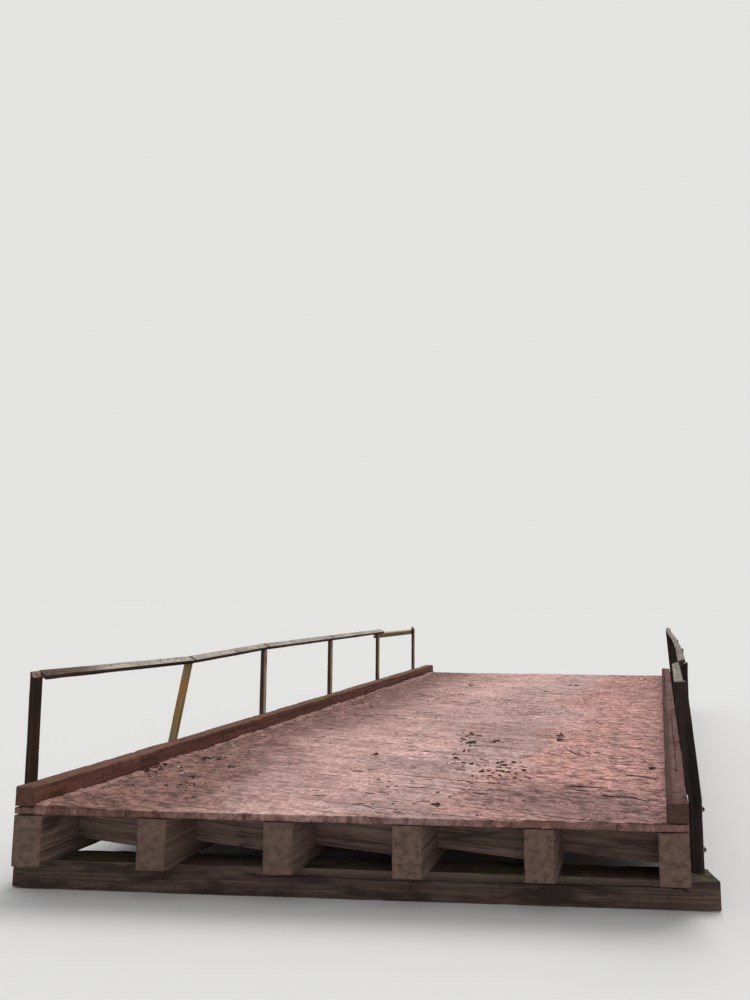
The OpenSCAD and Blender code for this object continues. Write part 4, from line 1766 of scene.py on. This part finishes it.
        # Heaps of soil that show singly, each with its place, reach and number of clods
        heaps = (((-2.00, -4.36), 0.10, 26), ((-1.80, -3.85), 0.05, 7), ((-1.68, -3.82), 0.04, 5),
                 ((-1.43, -4.72), 0.05, 6), ((-1.50, -4.49), 0.04, 4), ((-1.43, -4.05), 0.03, 3),
                 ((-0.49, -3.03), 0.03, 3), ((0.12, -1.80), 0.12, 12), ((0.22, -2.14), 0.06, 7),
                 ((0.28, -2.59), 0.03, 3), ((0.32, -3.00), 0.10, 9), ((0.44, -3.10), 0.02, 2),
                 ((0.72, -3.15), 0.22, 20), ((0.74, -3.50), 0.18, 14), ((0.99, -3.42), 0.05, 4),
                 ((0.80, -2.90), 0.03, 3), ((0.43, -1.99), 0.07, 5), ((1.02, -1.45), 0.09, 8),
                 ((1.06, -1.72), 0.04, 4), ((-0.92, 2.59), 0.05, 4), ((0.36, 2.34), 0.03, 3),
                 ((0.62, 3.27), 0.03, 3), ((0.72, 3.31), 0.03, 3), ((1.97, -2.63), 0.04, 4),
                 ((0.51, -4.50), 0.03, 3), ((-1.85, 0.05), 0.22, 16))
        spots = [(x + reach * float(a), y + 1.6 * reach * float(b))
                 for (x, y), reach, number in heaps
                 for a, b in draw.normal(0.0, 0.55, (2 * number, 2))]
        low, high = self.plan.inner_left + 0.02, self.plan.inner_right - 0.02
        inside = [(min(max(x, low), high), y) for x, y in spots]
        sizes = 0.004 + 0.013 * draw.uniform(size=len(inside)) ** 2
        self._lumps("mud_clods", soil, inside, sizes, seed=611, flat=0.6, finer=True)
        spots = self._spots(1500, seed=613, left_pull=1.3, kept=0.15)
        sizes = 0.003 + 0.008 * draw.uniform(size=len(spots)) ** 3
        self._lumps("soil_crumbs", soil, spots, sizes, seed=614, flat=0.6)
        # The pale stones that show singly
        noted = ((-1.83, -4.24), (-1.67, -4.36), (-1.88, -3.27), (-0.98, -3.88), (-1.38, -2.60),
                 (-1.88, -2.69))
        spots = list(noted) + self._spots(60, seed=615, left_pull=1.4).tolist()
        sizes = [0.014] * len(noted) + (0.003 + 0.007 * draw.uniform(size=60) ** 2).tolist()
        self._lumps("small_stones", stone, spots, sizes, seed=616, flat=0.7)
        self._chips()


@dataclass
class Fixings:
    """The rusty bolts and nails that hold the bridge together.

    Attributes:
        plan: The deck's plan.
        posts, bays, stringers: How many posts each side has, and how many bays and stringers
            there are.
        lower_bolt: How far under the deck's top the posts' lower bolts are.
        washer: Radius of a washer.
        head: Radius of a bolt's square head.
        nail: Radius of a nail's head.
        from_edge: Distance of a nail from the edge of its plank.
    """

    # Rings of each form from its seat up, each with its share of the radius and its height
    WASHER, WASHER_SIDES = ((1.0, 0.0), (1.0, 0.0025), (0.93, 0.0035)), 18
    HEAD, HEAD_SIDES = ((1.0, 0.0), (1.0, 0.008), (0.8, 0.0105)), 4
    DECK_NAIL, NAIL_SIDES = ((1.0, 0.0), (1.0, 0.0014), (0.7, 0.0022)), 8
    RAIL_NAIL = ((1.0, 0.0), (1.0, 0.0014), (0.6, 0.0022))
    # Depth that a bolt and a rail's nail are driven in
    BOLT_SUNK, NAIL_SUNK = 0.001, 0.0016
    # How far a deck nail strays across the bridge and along it, and keeps from curbs and ends
    STRAY, CLEAR = (0.03, 0.008), 0.02
    # A rail nail's distances from the rail's two ends, and its places across the rail
    FROM_ENDS, SHARES = (0.028, 0.030), (0.28, 0.72)

    plan: Plan
    posts: int = 6
    bays: int = 6
    stringers: int = 6
    lower_bolt: float = 0.19
    washer: float = 0.021
    head: float = 0.013
    nail: float = 0.0048
    from_edge: float = 0.045

    @staticmethod
    def _turned(profile: Sequence[tuple[float, float]], radius: float, sides: int,
                centre: Sequence[float], axis: Sequence[float], into: Skin,
                turn: float = 0.0) -> None:
        """Adds a form that is turned about an axis.

        Args:
            profile: Share of the radius and height of each ring, from the seat up.
            radius: Its radius at the seat.
            sides: How many sides it has.
            centre: Middle of its seat.
            axis: Direction that it stands in.
            into: The skin that takes it.
            turn: Angle that it is turned by, in radians.
        """
        angles = turn + np.arange(sides) * 2 * math.pi / sides
        rings = np.array([[(share * radius * math.cos(a), share * radius * math.sin(a), height)
                           for a in angles] for share, height in profile])
        tip = np.array([[0.0, 0.0, profile[-1][1]]])
        points = np.concatenate([rings.reshape(-1, 3), tip])
        faces = [[k * sides + i, k * sides + (i + 1) % sides, (k + 1) * sides + (i + 1) % sides,
                  (k + 1) * sides + i] for k in range(len(profile) - 1) for i in range(sides)]
        top = (len(profile) - 1) * sides
        faces += [[top + i, top + (i + 1) % sides, len(points) - 1] for i in range(sides)]
        faces.append(list(reversed(range(sides))))
        turned = Vector(UP).rotation_difference(Vector(axis)).to_matrix()
        into.add(points @ np.array(turned).T + np.array(centre), faces)

    def _bolt(self, centre: Sequence[float], axis: Sequence[float], into: Skin,
              turn: float) -> None:
        """Adds a washer with a square bolt head on it.

        Args:
            centre: Middle of the washer's seat.
            axis: Direction that the bolt stands in.
            into: The skin that takes both.
            turn: Angle that the head is turned by, in radians.
        """
        self._turned(self.WASHER, self.washer, self.WASHER_SIDES, centre, axis, into)
        seat = [c + self.WASHER[-1][1] * a for c, a in zip(centre, axis)]
        self._turned(self.HEAD, self.head, self.HEAD_SIDES, seat, axis, into, turn)

    def _post_bolts(self, iron: Material) -> None:
        """Bolts each post to the curb and to the stringer beside it.

        Args:
            iron: The bolts' finish.
        """
        plan, draw = self.plan, np.random.default_rng(701)
        heights = ((plan.top + plan.curb_top) / 2, plan.top - self.lower_bolt)
        for side, sign in (("left", -1.0), ("right", 1.0)):
            skin = Skin()
            for number in range(1, self.posts + 1):
                solid = solids_of(f"{side}_post_{number}")[0]
                low = solid.points[:, 2].min()
                foot = solid.points[np.abs(solid.points[:, 2] - low) < 1e-4]
                face = foot[:, 0].min() if sign < 0 else foot[:, 0].max()
                for height in heights:
                    x, y = face - sign * self.BOLT_SUNK, float(solid.centre_at(height)[1])
                    self._bolt((x, y, height), (sign, 0, 0), skin, draw.uniform(0, 1.5))
            skin.make(f"{side}_post_bolts", iron, crease=30.0)

    def _deck_nails(self, iron: Material) -> None:
        """Nails each plank to each stringer, twice.

        Args:
            iron: The nails' finish.
        """
        skin, draw, plan, clear = Skin(), np.random.default_rng(702), self.plan, self.CLEAR
        level = plan.top - self.DECK_NAIL[-1][1]
        middles = [sum(corner.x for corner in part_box(f"stringer_{number}")) / 2
                   for number in range(1, self.stringers + 1)]
        for bay in range(1, self.bays + 1):
            for solid in solids_of(f"deck_bay_{bay}"):
                low, high = solid.points[:, 1].min(), solid.points[:, 1].max()
                places = [(middle, edge) for middle in middles
                          for edge in (low + self.from_edge, high - self.from_edge)]
                for place in places:
                    x, y = (p + draw.uniform(-far, far) for p, far in zip(place, self.STRAY))
                    inside = clear < y - plan.near(x) < plan.length - clear
                    between = plan.inner_left + clear < x < plan.inner_right - clear
                    if inside and between and low < y < high:
                        self._turned(self.DECK_NAIL, self.nail, self.NAIL_SIDES, (x, y, level), UP,
                                     skin)
        skin.make("deck_nails", iron, "deck_plank", crease=50.0)

    def _rail_nails(self, iron: Material) -> None:
        """Nails each end of each rail to its post.

        Args:
            iron: The nails' finish.
        """
        skin, (from_start, from_end) = Skin(), self.FROM_ENDS
        for side in ("left", "right"):
            for number in range(1, self.posts):
                solid = solids_of(f"{side}_rail_{number}")[0]
                rail = Timber(solid, ALONG, UP, Wear(step=0.1, wide=6, narrow=6, arris=0.003), 1)
                on_edge = side == "left" and number == self.posts - 1
                wide, high, length = rail.size
                for along in (from_start, length - from_end):
                    for share in self.SHARES:
                        # The rail on edge is nailed through its outer face, the others through
                        # their upper one
                        if on_edge:
                            local, axis = np.array([wide, share * high, along]), rail.axes[0]
                            if axis[0] > 0:
                                local[0], axis = 0.0, -axis
                        else:
                            local, axis = np.array([share * wide, high, along]), rail.axes[1]
                        centre = (local + rail.low) @ rail.axes - self.NAIL_SUNK * axis
                        self._turned(self.RAIL_NAIL, self.nail, self.NAIL_SIDES, centre, axis, skin)
        skin.make("rail_nails", iron, "grey_rail", crease=50.0)

    def build(self) -> None:
        """Builds the bolts and nails."""
        iron = GrittyFinish("rusty_iron", srgb(104, 62, 42), srgb(48, 32, 26), scale=220,
                            rough=0.75, bump=0.0006, metallic=0.35).dress()
        self._post_bolts(iron)
        self._deck_nails(iron)
        self._rail_nails(iron)


@dataclass
class Studio:
    """The pale floor, the soft light and the camera.

    Attributes:
        eye: Where the camera stands.
        turned: Angle of its view to the left of the bridge's length, in degrees.
        raised: Angle of its view above level, in degrees.
        rolled: Angle that it is rolled by, in degrees.
        lens: Focal length in millimetres.
        floor_colour: Colour of the floor.
        floor_reach: How far the floor reaches.
        backdrop: Colour behind the bridge, which is the lit floor's.
        sky, sky_colour: Strength and colour of the light from all round.
        sun, sun_colour: Strength and colour of the soft lamp.
        sun_angle: Width of the lamp as it is seen from the bridge, in degrees.
        sun_turn: How far the lamp is turned from straight down about X and Y, in degrees.
    """

    # How far the floor lies under the sills, so that the two don't flicker
    FLOOR_GAP = 0.0005
    # Width of the camera's sensor in millimetres, and its nearest and farthest sight
    SENSOR, SIGHT = 36.0, (0.05, 300.0)

    eye: tuple[float, float, float] = (2.068, -9.884, 2.10)
    turned: float = 20.64
    raised: float = 7.08
    rolled: float = 0.47
    lens: float = 27.04
    floor_colour: Colour = (0.80, 0.795, 0.78, 1.0)
    floor_reach: float = 90.0
    backdrop: Colour = (0.770, 0.770, 0.755, 1.0)
    sky: float = 0.62
    sky_colour: Colour = (0.97, 0.985, 1.0, 1.0)
    sun: float = 1.35
    sun_colour: tuple[float, float, float] = (1.0, 0.985, 0.96)
    sun_angle: float = 35.0
    sun_turn: tuple[float, float] = (-30.0, 12.0)

    def build(self) -> None:
        """Sets up the floor, the light and the camera."""
        self._floor()
        self._light()
        self._camera()

    def _floor(self) -> None:
        """Lays the floor on which the sills rest."""
        mesh = bpy.data.meshes.new("floor")
        work = bmesh.new()
        bmesh.ops.create_grid(work, x_segments=8, y_segments=8, size=self.floor_reach)
        work.to_mesh(mesh)
        work.free()
        g = Graph(bpy.data.materials.new("pale_floor"))
        shader = g.node("BsdfPrincipled", {"Base Color": self.floor_colour, "Roughness": 0.95,
                                           "Specular IOR Level": 0.0})
        g.node("OutputMaterial", {"Surface": shader.outputs[0]})
        mesh.materials.append(g.owner)
        floor = bpy.data.objects.new("floor", mesh)
        floor.location.z = -self.FLOOR_GAP
        bpy.context.scene.collection.objects.link(floor)

    def _light(self) -> None:
        """Lights the bridge from all round and softly from above, beyond its far end."""
        world = bpy.data.worlds.new("soft_sky")
        bpy.context.scene.world = world
        g = Graph(world)
        rays = g.node("LightPath").outputs
        lit = g.node("Background", {"Color": self.sky_colour, "Strength": self.sky})
        seen = g.node("Background", {"Color": self.backdrop, "Strength": 1.0})
        direct = g.math("MAXIMUM", rays["Is Camera Ray"], rays["Is Glossy Ray"])
        direct = g.math("MAXIMUM", direct, rays["Is Transmission Ray"])
        mixed = g.node("MixShader", {0: direct, 1: lit.outputs[0], 2: seen.outputs[0]})
        g.node("OutputWorld", {"Surface": mixed.outputs[0]})
        lamp = bpy.data.lights.new("soft_lamp", "SUN")
        lamp.energy, lamp.color = self.sun, self.sun_colour
        lamp.angle = math.radians(self.sun_angle)
        holder = bpy.data.objects.new("soft_lamp", lamp)
        holder.rotation_euler = (*(math.radians(turn) for turn in self.sun_turn), 0)
        bpy.context.scene.collection.objects.link(holder)

    def _camera(self) -> None:
        """Stands the camera where the photograph was taken from."""
        turned, raised, rolled = (math.radians(a) for a in (self.turned, self.raised, self.rolled))
        forward = Vector((-math.sin(turned) * math.cos(raised), math.cos(turned) * math.cos(raised),
                          math.sin(raised)))
        level = Vector((math.cos(turned), math.sin(turned), 0.0))
        above = level.cross(forward)
        right = math.cos(rolled) * level + math.sin(rolled) * above
        up = -math.sin(rolled) * level + math.cos(rolled) * above
        data = bpy.data.cameras.new("camera")
        data.lens, data.sensor_width = self.lens, self.SENSOR
        data.clip_start, data.clip_end = self.SIGHT
        camera = bpy.data.objects.new("camera", data)
        axes = Matrix((right, up, -forward)).transposed().to_4x4()
        camera.matrix_world = Matrix.Translation(self.eye) @ axes
        bpy.context.scene.collection.objects.link(camera)
        bpy.context.scene.camera = camera


def main() -> None:
    """Builds the bridge's pieces in order, then the studio."""
    logging.basicConfig(level=logging.INFO, format="%(message)s")
    scene = bpy.context.scene
    scene.view_settings.view_transform = "Standard"
    plan = Plan.read()
    for part in (Studio(), Substructure(), Deck(plan), Curbs(plan), Posts(plan), Handrails(),
                 Dirt(plan), Fixings(plan)):
        part.build()
        log.info("%s is built", type(part).__name__)


if __name__ == "__main__":
    main()
